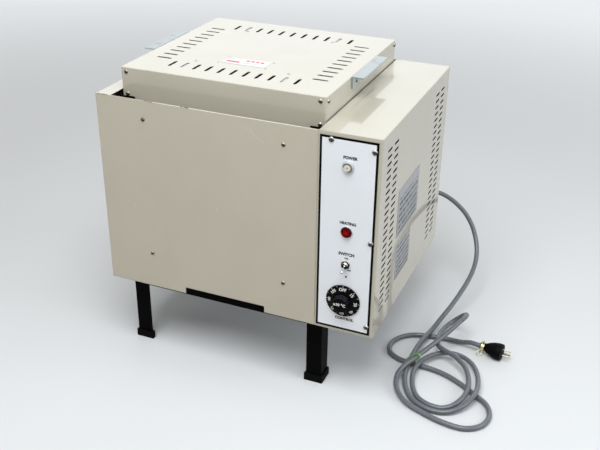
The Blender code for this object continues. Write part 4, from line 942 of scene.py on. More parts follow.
def element_runs(node):
    """One element's winding in two grooves and in the step between them, and its two straight tails."""
    low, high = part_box(node)
    chamber_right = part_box("brick_right")[0].x + GROOVE_DEEP - ELEMENT_HALF - GROOVE_CLEAR
    middle_y = middle("brick_left").y
    tail_y, step_y = middle_y - TAIL_ASIDE, middle_y + TAIL_ASIDE
    left, front, back = low.x + ELEMENT_HALF, low.y + ELEMENT_HALF, high.y - ELEMENT_HALF
    ring = [Vector((x, y, 0)) for x, y in (
        (chamber_right, tail_y), (chamber_right, front), (left, front), (left, back),
        (chamber_right, back), (chamber_right, step_y),
    )]
    lower, upper = Vector((0, 0, low.z + ELEMENT_HALF)), Vector((0, 0, high.z - ELEMENT_HALF))
    path = [place + lower for place in ring] + [place + upper for place in reversed(ring)]
    runs = [wound_along(rounded_path(path, ELEMENT_BEND, 5), WINDING_R, WINDING_PITCH, 10)]
    for level, place in ((lower, runs[0][0]), (upper, runs[0][-1])):
        start = Vector((chamber_right, tail_y, 0)) + level
        runs.append([place, start + Vector((0.004, 0, 0)), Vector((high.x, tail_y, 0)) + level])
    return runs


HEATER_WIRE = metal_finish("oxidised_heater_wire", (0.20, 0.19, 0.18, 1), (0.16, 0.10, 0.06, 1),
                           stained=0.6, roughness=0.50)
for part in LEVELS:
    winding = tube("heating_coil_" + part, element_runs("heating_element_" + part), WIRE_R, 0)
    dress(winding, HEATER_WIRE)
    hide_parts("heating_element_" + part)
    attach(winding, "base")

# Terminal strip
# A glazed porcelain strip in the control section, with a brass nut on each tail of the elements. It
# keeps the live ends clear of the sheet.


def glazed_porcelain():
    """Cream porcelain, slightly clouded, under a glossy glaze."""
    material, tree, shader = new_finish("glazed_porcelain")
    shader.inputs["Coat Weight"].default_value = 0.6
    shader.inputs["Coat Roughness"].default_value = 0.08
    place = own_place(tree)
    cloud = noise(tree, place, 35.0, 4.0)
    tree.links.new(mix(tree, cloud, (0.74, 0.71, 0.64, 1), (0.84, 0.82, 0.77, 1)),
                   shader.inputs["Base Color"])
    rough = ramp(tree, cloud, 0.12, 0.16)
    tree.links.new(rough, shader.inputs["Roughness"])
    relief(tree, shader, cloud, 0.2, 0.0004)
    return material


dress("terminal_strip", glazed_porcelain())
terminal_nut = turned_piece("terminal_nut", [(0.0048, 0.0), (0.0052, 0.0004), (0.0052, 0.0030),
                                             (0.0047, 0.0036), (0.0024, 0.0036), (0.0022, 0.0030)], 6)
strip_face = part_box("terminal_strip")[1].x + 0.0003
tail_places = []
for part in LEVELS:
    low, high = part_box("heating_element_" + part)
    for level in (low.z + ELEMENT_HALF, high.z - ELEMENT_HALF):
        tail_places.append(Vector((strip_face, middle("brick_left").y - TAIL_ASIDE, level)))
terminal_nuts = copied(terminal_nut, "terminal_nuts", tail_places, TO_RIGHT)
finish_piece(terminal_nuts, BRASS, "base")

# Energy regulator
# The regulator behind the dial, a closed black moulding with dull sides. The dial's shaft reaches back
# through the control plate into it.
BLACK_MOULDING = dusty_finish("black_moulding", (0.0015, 0.0015, 0.0018, 1), (0.08, 0.08, 0.09, 1),
                              amount=0.03, roughness=0.34, grain=420.0, depth=0.00015, specular=0.05)
dress("energy_regulator", BLACK_MOULDING)

# Case panels
# Thin sheet steel, folded at its edges and sprayed with beige semi-gloss enamel: the front, left side
# and back of the chamber's case. Four screws hold the front, whose upper edge is chipped to the primer.


def sprayed_enamel_group():
    """Sprayed enamel: a faint mottle, fine specks of grime, and the soft ripple of sprayed paint."""
    inputs = [("Paint", "Color", (0.5, 0.5, 0.5, 1)), ("Grime", "Color", (0.3, 0.26, 0.2, 1)),
              ("Grimy", "Float", 0.5), ("Roughness", "Float", 0.3)]
    group, given, put = new_group("sprayed_enamel", inputs,
                                  [("Colour", "Color"), ("Roughness", "Float"), ("Height", "Float")])
    place = own_place(group)
    broad = noise(group, place, 4.5, 5.0)
    wiped = add(group, "VectorMath", {0: place, 1: (5.0, 5.0, 3.0)}, operation="MULTIPLY").outputs[0]
    smears = noise(group, wiped, 3.0, 2.0)
    tone = times(group, plus(group, broad, smears), 0.5)
    soft = times(group, fade(group, tone, 0.42, 0.62), given["Grimy"])
    colour = mix(group, times(group, soft, 0.08), given["Paint"], given["Grime"])
    cells = add(group, "TexVoronoi", {"Vector": place, "Scale": 55.0}, feature="F1").outputs
    pick = add(group, "SeparateColor", {"Color": cells["Color"]}).outputs[0]
    speck = times(group, fade(group, cells["Distance"], 0.075, 0.03), fade(group, pick, 0.93, 0.95))
    speck = times(group, speck, given["Grimy"])
    group.links.new(mix(group, times(group, speck, 0.75), colour, given["Grime"]), put["Colour"])
    rough = ramp(group, tone, 0.14, -0.07)
    group.links.new(plus(group, rough, given["Roughness"], clamp=True), put["Roughness"])
    ripple = noise(group, place, 260.0, 1.0)
    dent = times(group, broad, 6.0)
    group.links.new(plus(group, ripple, dent), put["Height"])
    return group


SPRAYED_ENAMEL = sprayed_enamel_group()
BEIGE = (0.503, 0.472, 0.385, 1)
PRIMER = (0.045, 0.030, 0.022, 1)


def within(tree, value, low, high, soft):
    """A mask of the stretch where a value lies between two others."""
    return times(tree, fade(tree, value, low - soft, low + soft),
                 fade(tree, value, high + soft, high - soft))


def scratch_mask(tree, axes, scratches):
    """Thin straight scratches, each from a place in X and Z, at an angle and of a length."""
    mask = None
    for x, z, turn, length, wide in scratches:
        across = minus(tree, axes["X"], CASE_LEFT + x)
        rise = minus(tree, axes["Z"], z)
        cosine, sine = math.cos(math.radians(turn)), math.sin(math.radians(turn))
        along = plus(tree, times(tree, across, cosine), times(tree, rise, sine))
        aside = minus(tree, times(tree, rise, cosine), times(tree, across, sine))
        line = times(tree, within(tree, along, 0.0, length, 0.0015),
                     within(tree, aside, -wide, wide, 0.0003))
        mask = line if mask is None else larger(tree, mask, line)
    return mask


def worn_and_highlit_top(tree, colour, mask, chipped_places, scratches):
    """The front's top edge: chips in some stretches, a few scratches, and a pale painted highlight along its
    fold.
    """
    place = own_place(tree)
    axes = axes_of(tree, place)
    flakes = noise(tree, place, 330.0, 4.0)
    edge = fade(tree, axes["Z"], CASE_TOP - 0.0036, CASE_TOP - 0.0006)
    for low, high, share in chipped_places:
        rubbed = within(tree, axes["X"], CASE_LEFT + low, CASE_LEFT + high, 0.003)
        chance = times(tree, times(tree, rubbed, edge), share)
        mask = larger(tree, mask, fade(tree, plus(tree, flakes, chance), 0.94, 0.98))
    worn_through = times(tree, scratch_mask(tree, axes, scratches), 0.55)
    colour = mix(tree, worn_through, colour, (0.72, 0.69, 0.60, 1))
    # Painted highlight: a pale line along the top fold.
    fold_highlight = times(tree, fade(tree, axes["Z"], CASE_TOP - 0.0016, CASE_TOP - 0.0009),
                 within(tree, axes["X"], CASE_LEFT + 0.130, CASE_LEFT + 0.480, 0.060))
    return mix(tree, times(tree, fold_highlight, 0.75), colour, (0.86, 0.85, 0.78, 1)), mask


def painted_slot_shade(tree, colour, outer_face):
    """Near-black painted shade inside a slotted wall and on the edges of its slots."""
    axes = axes_of(tree, own_place(tree))
    behind = within(tree, axes["X"], outer_face - 0.010, outer_face - 0.0003, 0.0001)
    below_top = fade(tree, axes["Z"], CASE_TOP - 0.004, CASE_TOP - 0.006)
    off_folds = within(tree, axes["Y"], CASE_FRONT + 0.006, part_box("control_cover")[1].y - 0.006, 0.001)
    slot_shade = times(tree, times(tree, behind, below_top), off_folds)
    return mix(tree, slot_shade, colour, (0.020, 0.018, 0.016, 1))


def beige_enamel(name, chipped, chipped_places=(), scratches=(), rounding=0.0008, outer_face=None):
    """Beige enamel, chipped to the primer along its edges, with its own wear and a painted highlight along
    the top fold on the front panel, and painted shade inside a slotted wall.
    """
    material, tree, shader = new_finish(name, specular=0.2)
    shader.inputs["Coat Weight"].default_value = 1.0
    shader.inputs["Coat Roughness"].default_value = 0.04
    skin = group_node(tree, SPRAYED_ENAMEL, {
        "Paint": BEIGE, "Grime": (0.24, 0.19, 0.13, 1), "Grimy": 0.6, "Roughness": 0.34,
    })
    worn = group_node(tree, WORN_EDGE, {"Width": 0.0009, "Amount": chipped, "Grain": 130.0})
    colour, mask = skin["Colour"], worn["Mask"]
    if chipped_places:
        colour, mask = worn_and_highlit_top(tree, colour, mask, chipped_places, scratches)
    colour = mix(tree, mask, colour, PRIMER)
    # A slotted wall gets painted shade inside it and on its slots' edges.
    if outer_face is not None:
        colour = painted_slot_shade(tree, colour, outer_face)
    tree.links.new(colour, shader.inputs["Base Color"])
    rough = plus(tree, skin["Roughness"], times(tree, mask, 0.3))
    tree.links.new(rough, shader.inputs["Roughness"])
    soft = add(tree, "Bevel", {"Radius": rounding}, samples=6).outputs["Normal"]
    relief(tree, shader, skin["Height"], 0.10, 0.0004, soft)
    return material


ENAMEL = beige_enamel("beige_enamel", 0.28)
FRONT_CHIPS = ((0.002, 0.030, 0.50), (0.110, 0.131, 0.50), (0.189, 0.213, 0.50))
FRONT_SCRATCHES = (
    (0.328, 0.5745, -36.0, 0.048, 0.0004), (0.338, 0.5735, -52.0, 0.016, 0.0003),
    (0.262, 0.3860, 20.0, 0.004, 0.0009), (0.071, 0.3540, 75.0, 0.007, 0.0006),
)
dress("front_panel", beige_enamel("front_panel_enamel", 0.10, FRONT_CHIPS, FRONT_SCRATCHES,
                                  rounding=0.0022))
dress("left_side_panel", ENAMEL)
dress("back_panel", ENAMEL)


def on_case(x, y, rise):
    """A place measured from the case's left side, its front face and its lower edge."""
    return spot(x, y, CASE_BOTTOM + rise)


def set_of_screws(name, places, turn, radius, height, body, metal=PANEL_STEEL):
    """Cross-head screws of one size, seated in one face."""
    piece = copied(screw_head("screw_pattern", radius, height), name, places, turn)
    finish_piece(piece, metal, body)
    return piece


panel_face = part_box("front_panel")[0].y - CASE_FRONT
panel_places = [on_case(x, panel_face, rise)
                for x, rise in ((0.1060, 0.0820), (0.1060, 0.3826), (0.4080, 0.0822), (0.4080, 0.3812))]
set_of_screws("front_panel_screws", panel_places, TO_FRONT, 0.0043, 0.0024, "base")
back_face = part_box("back_panel")[1].y - CASE_FRONT
back_places = [on_case(x, back_face, rise) for x in (0.018, 0.300, 0.582) for rise in (0.014, 0.408)]
back_places += [on_case(x, back_face, 0.211) for x in (0.018, 0.582)]
set_of_screws("back_panel_screws", back_places, TO_BACK, 0.0037, 0.0020, "base")

# Control section
# A bent cover with four columns of cooling slots over the top and right side, and a narrow front that
# carries the instruments. Two data plates with rules in place of words are stuck to its side, and a
# narrow return of the front closes the seam beside the front panel.
PLATE_GAP, PLATE_THICK, PLATE_EDGE = 0.0001, 0.0007, 0.0002
# The cover's inside and the edges of its slots are painted near black as shade.
dress("control_cover", beige_enamel("control_cover_enamel", 0.28, outer_face=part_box("control_cover")[1].x))
dress("control_front", ENAMEL)


def share_between(tree, value, low, high):
    """How far a value has come from one place to another, from 0 to 1."""
    return math_node(tree, "DIVIDE", minus(tree, value, low), high - low)


def data_plate_foil(name, low, high, rows, head):
    """Blue-grey printed foil, with rows of broken rules in place of the particulars, under a bare head."""
    material, tree, shader = new_finish(name, metallic=0.15)
    place = own_place(tree)
    axes = axes_of(tree, place)
    along = share_between(tree, axes["Y"], low.y, high.y)
    up = share_between(tree, axes["Z"], low.z, high.z)
    level = times(tree, up, rows)
    row = math_node(tree, "FRACT", level)
    number = math_node(tree, "FLOOR", level)
    reading = plus(tree, times(tree, along, 26.0), times(tree, number, 7.3))
    broken = add(tree, "CombineXYZ", {"X": reading, "Y": number}).outputs["Vector"]
    words = noise(tree, broken, 1.6, 1.0)
    ink = times(tree, within(tree, row, 0.18, 0.70, 0.08), fade(tree, words, 0.38, 0.50))
    margin = times(tree, within(tree, along, 0.06, 0.94, 0.01), within(tree, up, 0.04, 1.0 - head, 0.01))
    ink = times(tree, ink, margin)
    rub = noise(tree, place, 80.0, 5.0)
    ink = times(tree, ink, fade(tree, rub, 0.15, 0.45))
    foil = mix(tree, rub, (0.31, 0.325, 0.35, 1), (0.41, 0.425, 0.45, 1))
    tree.links.new(mix(tree, ink, foil, (0.045, 0.052, 0.068, 1)), shader.inputs["Base Color"])
    rough = ramp(tree, rub, 0.2, 0.30)
    tree.links.new(rough, shader.inputs["Roughness"])
    return material


def thin_plate(name, low, high, bevel):
    """A thin plate or film between two corners, with its edges eased."""
    deselect()
    size = high - low
    bpy.ops.mesh.primitive_cube_add(size=1, location=(low + high) / 2, scale=size)
    plate = bpy.context.object
    plate.name = name
    apply_place()
    bpy.ops.object.mode_set(mode="EDIT")
    bpy.ops.mesh.select_all(action="SELECT")
    bpy.ops.mesh.bevel(offset=bevel, segments=2, affect="EDGES")
    bpy.ops.object.mode_set(mode="OBJECT")
    return plate


side_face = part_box("control_cover")[1].x - CASE_LEFT
for name, low_y, high_y, low_z, high_z, rows, head in (
    ("data_plate_upper", 0.125, 0.268, 0.333, 0.438, 8.0, 0.20),
    ("data_plate_lower", 0.133, 0.229, 0.230, 0.312, 7.0, 0.05),
):
    plate_low = spot(side_face + PLATE_GAP, low_y, low_z)
    plate_high = spot(side_face + PLATE_THICK, high_y, high_z)
    data_plate = thin_plate(name, plate_low, plate_high, PLATE_EDGE)
    finish_piece(data_plate, data_plate_foil(name + "_foil", plate_low, plate_high, rows, head), "base")
seam_left, seam_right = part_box("front_panel")[1].x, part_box("control_front")[0].x
front_return = thin_plate("front_return", Vector((seam_left + PLATE_GAP, CASE_FRONT + 0.0003, CASE_BOTTOM)),
                          Vector((seam_right - PLATE_GAP, CASE_FRONT + 0.0030, CASE_TOP)), PLATE_EDGE)
finish_piece(front_return, ENAMEL, "base")

# Control plate
# A steel plate sprayed white, with a printed black border and small captions, fixed by four bright
# steel screws near its edges.
BORDER_FROM, BORDER_TO = 0.0046, 0.0043


def white_plate_enamel():
    """White enamel with a black border printed a set distance in from the plate's edges."""
    material, tree, shader = new_finish("white_plate_enamel", specular=0.08)
    shader.inputs["Coat Roughness"].default_value = 0.12
    skin = group_node(tree, SPRAYED_ENAMEL, {
        "Paint": (0.812, 0.852, 0.913, 1), "Grime": (0.45, 0.43, 0.40, 1), "Grimy": 0.35, "Roughness": 0.30,
    })
    low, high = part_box("control_plate")
    centre, half = (low + high) / 2, (high - low) / 2
    axes = axes_of(tree, own_place(tree))
    edges = []
    for axis, place, reach in (("X", centre.x, half.x), ("Z", centre.z, half.z)):
        away = math_node(tree, "ABSOLUTE", minus(tree, axes[axis], place))
        edges.append(fade(tree, away, reach - BORDER_FROM, reach - BORDER_TO))
    border = larger(tree, edges[0], edges[1])
    tree.links.new(mix(tree, border, skin["Colour"], (0.001, 0.001, 0.0015, 1)), shader.inputs["Base Color"])
    tree.links.new(mix(tree, border, (0.6, 0.6, 0.6, 1), (0, 0, 0, 1)), shader.inputs["Coat Weight"])
    tree.links.new(skin["Roughness"], shader.inputs["Roughness"])
    relief(tree, shader, skin["Height"], 0.08, 0.0003)
    return material


dress("control_plate", white_plate_enamel())
plate_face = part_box("control_plate")[0].y - CASE_FRONT
PLATE_MID = middle("control_plate").x - CASE_LEFT
plate_places = [on_case(x, plate_face, rise)
                for x, rise in ((0.5032, 0.4083), (0.5866, 0.3968), (0.5874, 0.2113), (0.5872, 0.0246))]
set_of_screws("control_plate_screws", plate_places, TO_FRONT, 0.0053, 0.0030, "base",
              BRIGHT_STEEL)


def lettering(text, size, matrix, weight=0.055):
    """Printed lettering as a thin mesh in its place."""
    deselect()
    bpy.ops.object.text_add()
    words = bpy.context.object
    words.data.body = text
    words.data.size = size
    words.data.align_x = "CENTER"
    words.data.align_y = "CENTER"
    words.data.extrude = 0.00005
    words.data.resolution_u = 3
    words.data.offset = size * weight
    bpy.ops.object.convert(target="MESH")
    words = bpy.context.object
    words.matrix_world = matrix
    apply_place()
    return words


def printed_ink(name, colour, roughness):
    """Screen-printed ink, slightly uneven."""
    material, tree, shader = new_finish(name)
    place = own_place(tree)
    thin = noise(tree, place, 500.0, 3.0)
    paler = tuple(min(1.0, 0.02 + part * 1.15) for part in colour[:3]) + (1,)
    tree.links.new(mix(tree, thin, colour, paler), shader.inputs["Base Color"])
    shader.inputs["Roughness"].default_value = roughness
    return material


FACE_PRINT = Matrix.Rotation(math.pi / 2, 4, "X")
PRINT_LIFT = 0.00008
captions = []
for text, aside, rise, size in (
    ("POWER", 0.0033, 0.3772, 0.0078), ("HEATING", 0.0035, 0.2442, 0.0077),
    ("SWITCH", 0.0030, 0.1779, 0.0085), ("ON", 0.0030, 0.1690, 0.0048),
    ("OFF", 0.0093, 0.1436, 0.0044), ("CONTROL", 0.0035, 0.0318, 0.0080),
):
    words_place = on_case(PLATE_MID + aside, plate_face - PRINT_LIFT, rise)
    captions.append(lettering(text, size, Matrix.Translation(words_place) @ FACE_PRINT))
index_dot = turned_piece("index_dot", [(0.0022, 0.0), (0.0021, 0.0001)], 20)
put_at(index_dot, on_case(PLATE_MID + 0.0039, plate_face, 0.1285), TO_FRONT)
control_captions = joined(captions + [index_dot], "control_captions")
BLACK_INK = printed_ink("black_ink", (0.004, 0.004, 0.006, 1), 0.55)
finish_piece(control_captions, BLACK_INK, "base")

# Pilot lamps
# Two neon lamps: a slim nickel bezel with a moulded lens pressed into it. The clear one shows the pale
# reflector and the lamp's tip behind its face, the other is a dark red with a brighter face.
LENS_SUNK = 0.0012


def seat(node, y):
    """The middle of a node's box as seen from the front, at one depth."""
    low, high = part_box(node)
    return Vector(((low.x + high.x) / 2, y, (low.z + high.z) / 2))


def lamp_lens(name, node):
    """A lens with a sloping side, a rolled rim and a shallow dished face."""
    profile = [(0.0064, 0.0), (0.0064, 0.0041), (0.0109, 0.0041), (0.0110, 0.0045), (0.0109, 0.0057),
               (0.0105, 0.0070), (0.0099, 0.0080), (0.0092, 0.0086), (0.0084, 0.0088), (0.0072, 0.0087),
               (0.0058, 0.0085), (0.0040, 0.0086), (0.0022, 0.0089), (0.0008, 0.0090)]
    piece = turned_piece(name, profile, 40)
    put_at(piece, seat(node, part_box(node)[1].y - LENS_SUNK), TO_FRONT)
    return piece


def lens_finish(name, node, side, rim, face, tip, tip_reach, roughness, specular):
    """Moulded lens plastic: its side, a rim darkened as painted shade with painted light at its lower left,
    a brighter face, and the lamp's tip in the middle.
    """
    material, tree, shader = new_finish(name, specular=specular)
    shader.inputs["IOR"].default_value = 1.49
    low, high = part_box(node)
    centre = (low + high) / 2
    place = own_place(tree)
    swirl = noise(tree, place, 260.0, 2.0)
    off_axis = add(tree, "VectorMath", {0: place, 1: (centre.x, 0, centre.z)}, operation="SUBTRACT")
    flat = add(tree, "VectorMath", {0: off_axis.outputs[0], 1: (1, 0, 1)}, operation="MULTIPLY").outputs[0]
    reach = add(tree, "VectorMath", {0: flat}, operation="LENGTH").outputs["Value"]
    reach = plus(tree, reach, times(tree, swirl, 0.0010))
    parts = axes_of(tree, flat)
    # Painted shade and light: the rim is darker towards the upper right and takes the face's colour towards
    # the lower left.
    lit = fade(tree, plus(tree, parts["X"], parts["Z"]), -0.004, -0.011)
    rim = mix(tree, lit, rim, face)
    colour = mix(tree, fade(tree, reach, 0.0058, 0.0078), face, rim)
    colour = mix(tree, fade(tree, reach, 0.0092, 0.0108), colour, side)
    colour = mix(tree, fade(tree, reach, tip_reach, 0.0010), colour, tip)
    tree.links.new(colour, shader.inputs["Base Color"])
    rough = ramp(tree, swirl, 0.08, roughness)
    tree.links.new(rough, shader.inputs["Roughness"])
    relief(tree, shader, swirl, 0.15, 0.0002)
    return material


DULL_NICKEL = metal_finish("dull_nickel", (0.60, 0.62, 0.64, 1), (0.20, 0.19, 0.17, 1), stained=0.4,
                           roughness=0.50, depth=0.00005)
CLEAR_PLASTIC = lens_finish(
    "clear_lens_plastic", "clear_lamp_lens", side=(0.50, 0.50, 0.48, 1), rim=(0.13, 0.13, 0.11, 1),
    face=(0.68, 0.68, 0.61, 1), tip=(0.10, 0.09, 0.07, 1), tip_reach=0.0024, roughness=0.05, specular=0.3,
)
RED_PLASTIC = lens_finish(
    "red_lens_plastic", "red_lamp_lens", side=(0.085, 0.001, 0.005, 1), rim=(0.045, 0.0004, 0.0015, 1),
    face=(0.17, 0.0008, 0.0015, 1), tip=(0.36, 0.001, 0.001, 1), tip_reach=0.0056, roughness=0.10,
    specular=0.06,
)
for colour, finish in (("clear", CLEAR_PLASTIC), ("red", RED_PLASTIC)):
    dress(colour + "_lamp_bezel", DULL_NICKEL)
    glass = lamp_lens(colour + "_lamp_cap", colour + "_lamp_lens")
    finish_piece(glass, finish, "base", 30.0)
    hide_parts(colour + "_lamp_lens")

# Toggle switch
# Chrome bat-lever switch. A hexagon nut with chamfered corners clamps its threaded bushing to the
# plate, and the lever is a polished bat that thickens towards its round end.
NUT_ACROSS, NUT_THICK, NUT_BORE = 0.0164, 0.0026, 0.0062
NUT_TURN = 0.16
ROOT_R, CREST_R, THREAD_BORE = 0.00592, 0.00612, 0.00590
CRESTS, THREAD_PITCH, THREAD_OUT = 6, 0.0009, 0.0028
LEVER_TILT, LEVER_SUNK = math.radians(17.0), 0.0042
NUT_MID = seat("toggle_nut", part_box("toggle_nut")[1].y)
LEVER_CHROME = metal_finish("lever_chrome", (0.80, 0.83, 0.88, 1), (0.070, 0.072, 0.080, 1), stained=0.25,
                            roughness=0.06, depth=0.00005, underside_shade=0.95, shade_level=0.06)
DULL_CHROME = metal_finish("dull_chrome_plate", (0.62, 0.58, 0.47, 1), (0.012, 0.011, 0.009, 1),
                           stained=0.7, roughness=0.12, depth=0.00005, underside_shade=0.97, shade_level=0.50)


def hex_nut(name, across, thick, bore):
    """A hexagon cut from bar, chamfered by turning both faces, and bored."""
    nut = turned_piece(name, [(across / math.sqrt(3), 0.0), (across / math.sqrt(3), thick)], 6)
    rim = across / 2
    blank = turned_piece("nut_blank", [(rim * 1.00, 0.0), (rim * 1.18, thick * 0.3),
                                       (rim * 1.18, thick * 0.7), (rim * 1.00, thick)], 48)
    cut_away(nut, blank, "INTERSECT")
    cut_away(nut, turned_piece("nut_bore", [(bore, -thick), (bore, thick * 2)], 32))
    return nut


toggle_hex_nut = hex_nut("toggle_hex_nut", NUT_ACROSS, NUT_THICK, NUT_BORE)
put_at(toggle_hex_nut, NUT_MID + Vector((0, -0.0001, 0)), (math.pi / 2, NUT_TURN, 0))
finish_piece(toggle_hex_nut, DULL_CHROME, "base", 25.0)
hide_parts("toggle_nut")
dress("toggle_switch", DULL_CHROME)


def bushing_thread():
    """The crests of the bushing's thread in front of the nut."""
    profile = [(ROOT_R, 0.0)]
    for crest in range(CRESTS):
        start = 0.0002 + THREAD_PITCH * crest
        profile += [(ROOT_R, start), (CREST_R, start + 0.00025), (CREST_R, start + 0.0004),
                    (ROOT_R, start + 0.00065)]
    thread = turned_piece("toggle_thread", profile, 32)
    cut_away(thread, turned_piece("thread_bore", [(THREAD_BORE, -0.001), (THREAD_BORE, 0.008)], 32))
    return thread


toggle_thread = bushing_thread()
put_at(toggle_thread, NUT_MID + Vector((0, -THREAD_OUT, 0)), TO_FRONT)
finish_piece(toggle_thread, DULL_CHROME, "base", 25.0)


def bat_lever():
    """The lever, from its ball in the bushing out to its rounded end."""
    profile = [(0.0016, -0.0030), (0.0026, -0.0024), (0.0033, -0.0014), (0.0035, 0.0), (0.0033, 0.0014),
               (0.0026, 0.0025), (0.0018, 0.0032), (0.00150, 0.0040), (0.0018, 0.0075), (0.0023, 0.0125),
               (0.0028, 0.0168), (0.0030, 0.0182), (0.0029, 0.0194), (0.0025, 0.0203), (0.0017, 0.0208),
               (0.0008, 0.0210)]
    return turned_piece("toggle_bat_lever", profile, 28)


switch_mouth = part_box("toggle_switch")[0].y
toggle_bat_lever = bat_lever()
put_at(toggle_bat_lever, Vector((NUT_MID.x, switch_mouth + LEVER_SUNK, NUT_MID.z)),
       (math.pi / 2 + LEVER_TILT, 0, 0))
finish_piece(toggle_bat_lever, LEVER_CHROME, "toggle", 40.0)
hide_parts("toggle_lever")

# Dial
# Black moulded knob on the regulator's shaft: a wide skirt with white numbers and ticks, and a fluted
# grip with a flat top.
SKIRT_EDGE = (0.0347, 0.0022)
SKIRT_SHOULDER = (0.0215, 0.0062)
KNOB_FACE = 0.020
GRIP_SIDES, GRIP_RIBS = 96, 12
DIAL_PRINT_LIFT = 0.00006
DIAL_SEAT = seat("dial_knob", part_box("dial_knob")[0].y + KNOB_FACE)


def dial_skirt():
    """The skirt, on the end of the shaft."""
    profile = [(0.0029, -0.0510), (0.0030, -0.0505), (0.0030, 0.0), (0.0346, 0.0), (0.0350, 0.0004),
               (0.0350, 0.0017), SKIRT_EDGE, SKIRT_SHOULDER, (0.0208, 0.0066), (0.0160, 0.0066)]
    return turned_piece("dial_skirt", profile, 96)


def dial_grip():
    """The grip, whose flutes are pressed in between its ribs."""
    profile = [(0.0168, 0.0060), (0.0168, 0.0074), (0.0166, 0.0086), (0.0160, 0.0178), (0.0158, 0.0190),
               (0.0154, 0.0197), (0.0147, KNOB_FACE), (0.0060, KNOB_FACE)]
    grip = turned_piece("dial_grip", profile, GRIP_SIDES)
    bpy.ops.object.mode_set(mode="EDIT")
    bpy.ops.mesh.select_mode(type="VERT")
    for aside, size in ((0, 0.94), (1, 0.955), (-1, 0.955), (2, 0.985), (-2, 0.985)):
        bpy.ops.mesh.select_all(action="DESELECT")
        shape = bmesh.from_edit_mesh(grip.data)
        for corner in shape.verts:
            reach = math.hypot(corner.co.x, corner.co.y)
            place = round(GRIP_SIDES * math.atan2(corner.co.y, corner.co.x) / (2 * math.pi)) - aside
            in_flute = place % (GRIP_SIDES // GRIP_RIBS) == 0
            corner.select_set(in_flute and corner.co.z > 0.0085 and reach > 0.0140)
        bmesh.update_edit_mesh(grip.data)
        bpy.ops.transform.resize(value=(size, size, 1), center_override=(0, 0, 0))
    bpy.ops.object.mode_set(mode="OBJECT")
    return grip


def grip_moulding():
    """Black moulding, painted a lighter bluish grey where the grip's wall faces up, as a painted sheen."""
    material, tree, shader = new_finish("grip_moulding", specular=0.05)
    # Painted sheen: the wall that faces up is given a lighter bluish colour.
    painted_sheen = times(tree, fade(tree, facing_up(tree), 0.25, 0.85), noise(tree, own_place(tree), 420.0, 2.0))
    tree.links.new(mix(tree, painted_sheen, (0.0012, 0.0012, 0.0014, 1), (0.026, 0.027, 0.036, 1)),
                   shader.inputs["Base Color"])
    shader.inputs["Roughness"].default_value = 0.45
    return material


for dial_part, moulding, smooth in (
    (dial_skirt(), BLACK_MOULDING, 25.0), (dial_grip(), grip_moulding(), 32.0),
):
    put_at(dial_part, DIAL_SEAT, TO_FRONT)
    finish_piece(dial_part, moulding, "dial", smooth)
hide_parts("dial_knob")


def skirt_print(text, size, turn, radius, weight):
    """Lettering laid on the skirt's slope, at a turn clockwise from the top."""
    fall = (SKIRT_SHOULDER[1] - SKIRT_EDGE[1]) / (SKIRT_EDGE[0] - SKIRT_SHOULDER[0])
    height = SKIRT_SHOULDER[1] - fall * (radius - SKIRT_SHOULDER[0]) + DIAL_PRINT_LIFT
    matrix = (Matrix.Translation(DIAL_SEAT) @ FACE_PRINT
              @ Matrix.Rotation(-math.radians(turn), 4, "Z")
              @ Matrix.Translation((0, radius, height))
              @ Matrix.Rotation(-math.atan(fall), 4, "X"))
    return lettering(text, size, matrix, weight)


marks = []
for number in range(8):
    turn = 45.0 * number
    label = str(15 * number) if number else "OFF"
    marks.append(skirt_print(label, 0.0088, turn, radius=0.0268, weight=0.008))
    marks.append(skirt_print("I", 0.0044, turn, radius=0.0328, weight=0.02))
    marks.append(skirt_print("I", 0.0026, turn + 22.5, radius=0.0333, weight=0.06))
knob_face_place = DIAL_SEAT + Vector((-0.0004, -KNOB_FACE - DIAL_PRINT_LIFT, 0.0010))
marks.append(lettering("x10 °C", 0.0086, Matrix.Translation(knob_face_place) @ FACE_PRINT, 0.03))
dial_marks = joined(marks, "dial_marks")
WHITE_INK = printed_ink("white_ink", (0.80, 0.80, 0.77, 1), 0.5)
finish_piece(dial_marks, WHITE_INK, "dial")

# Lid
# A sheet-steel cover with a turned-down skirt, slotted round its top and sprayed like the case. Steel
# straps and corner angles inside it hold the slab, and screws through the skirt and the top hold them.
dress("lid_cover", beige_enamel("lid_enamel", 0.30))
for part in ("lid_strap_left", "lid_strap_right"):
    dress(part, ZINC)
for corner in CORNERS:
    dress("lid_corner_" + corner, ZINC)
lid_low, lid_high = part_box("lid_cover")
LID_TOP_FACE = lid_high.z
for name, face, turn in (
    ("lid_front_screws", lid_low.y - CASE_FRONT, TO_FRONT),
    ("lid_back_screws", lid_high.y - CASE_FRONT, TO_BACK),
):
    places = [on_case(x, face, rise) for x in (0.0483, 0.4640) for rise in (0.4604, 0.4145)]
    set_of_screws(name, places, turn, 0.0043, 0.0023, "lid")
for name, face, turn in (
    ("lid_right_screws", lid_high.x - CASE_LEFT, TO_RIGHT),
    ("lid_left_screws", lid_low.x - CASE_LEFT, TO_LEFT),
):
    places = [on_case(face, y, 0.459) for y in (0.0518, 0.4481)]
    set_of_screws(name, places, turn, 0.0043, 0.0023, "lid")
lid_top_places = [spot(x, y, LID_TOP_FACE) for x in (0.1542, 0.3582) for y in (0.138, 0.377)]
set_of_screws("lid_top_screws", lid_top_places, (0, 0, 0), 0.0036, 0.0012, "lid", ENAMEL)

# Nameplate
# A small white enamelled plate on the lid, with a plain red stripe, red dashes and a grey rule where a
# name would be, and a rivet beside each of its corners.


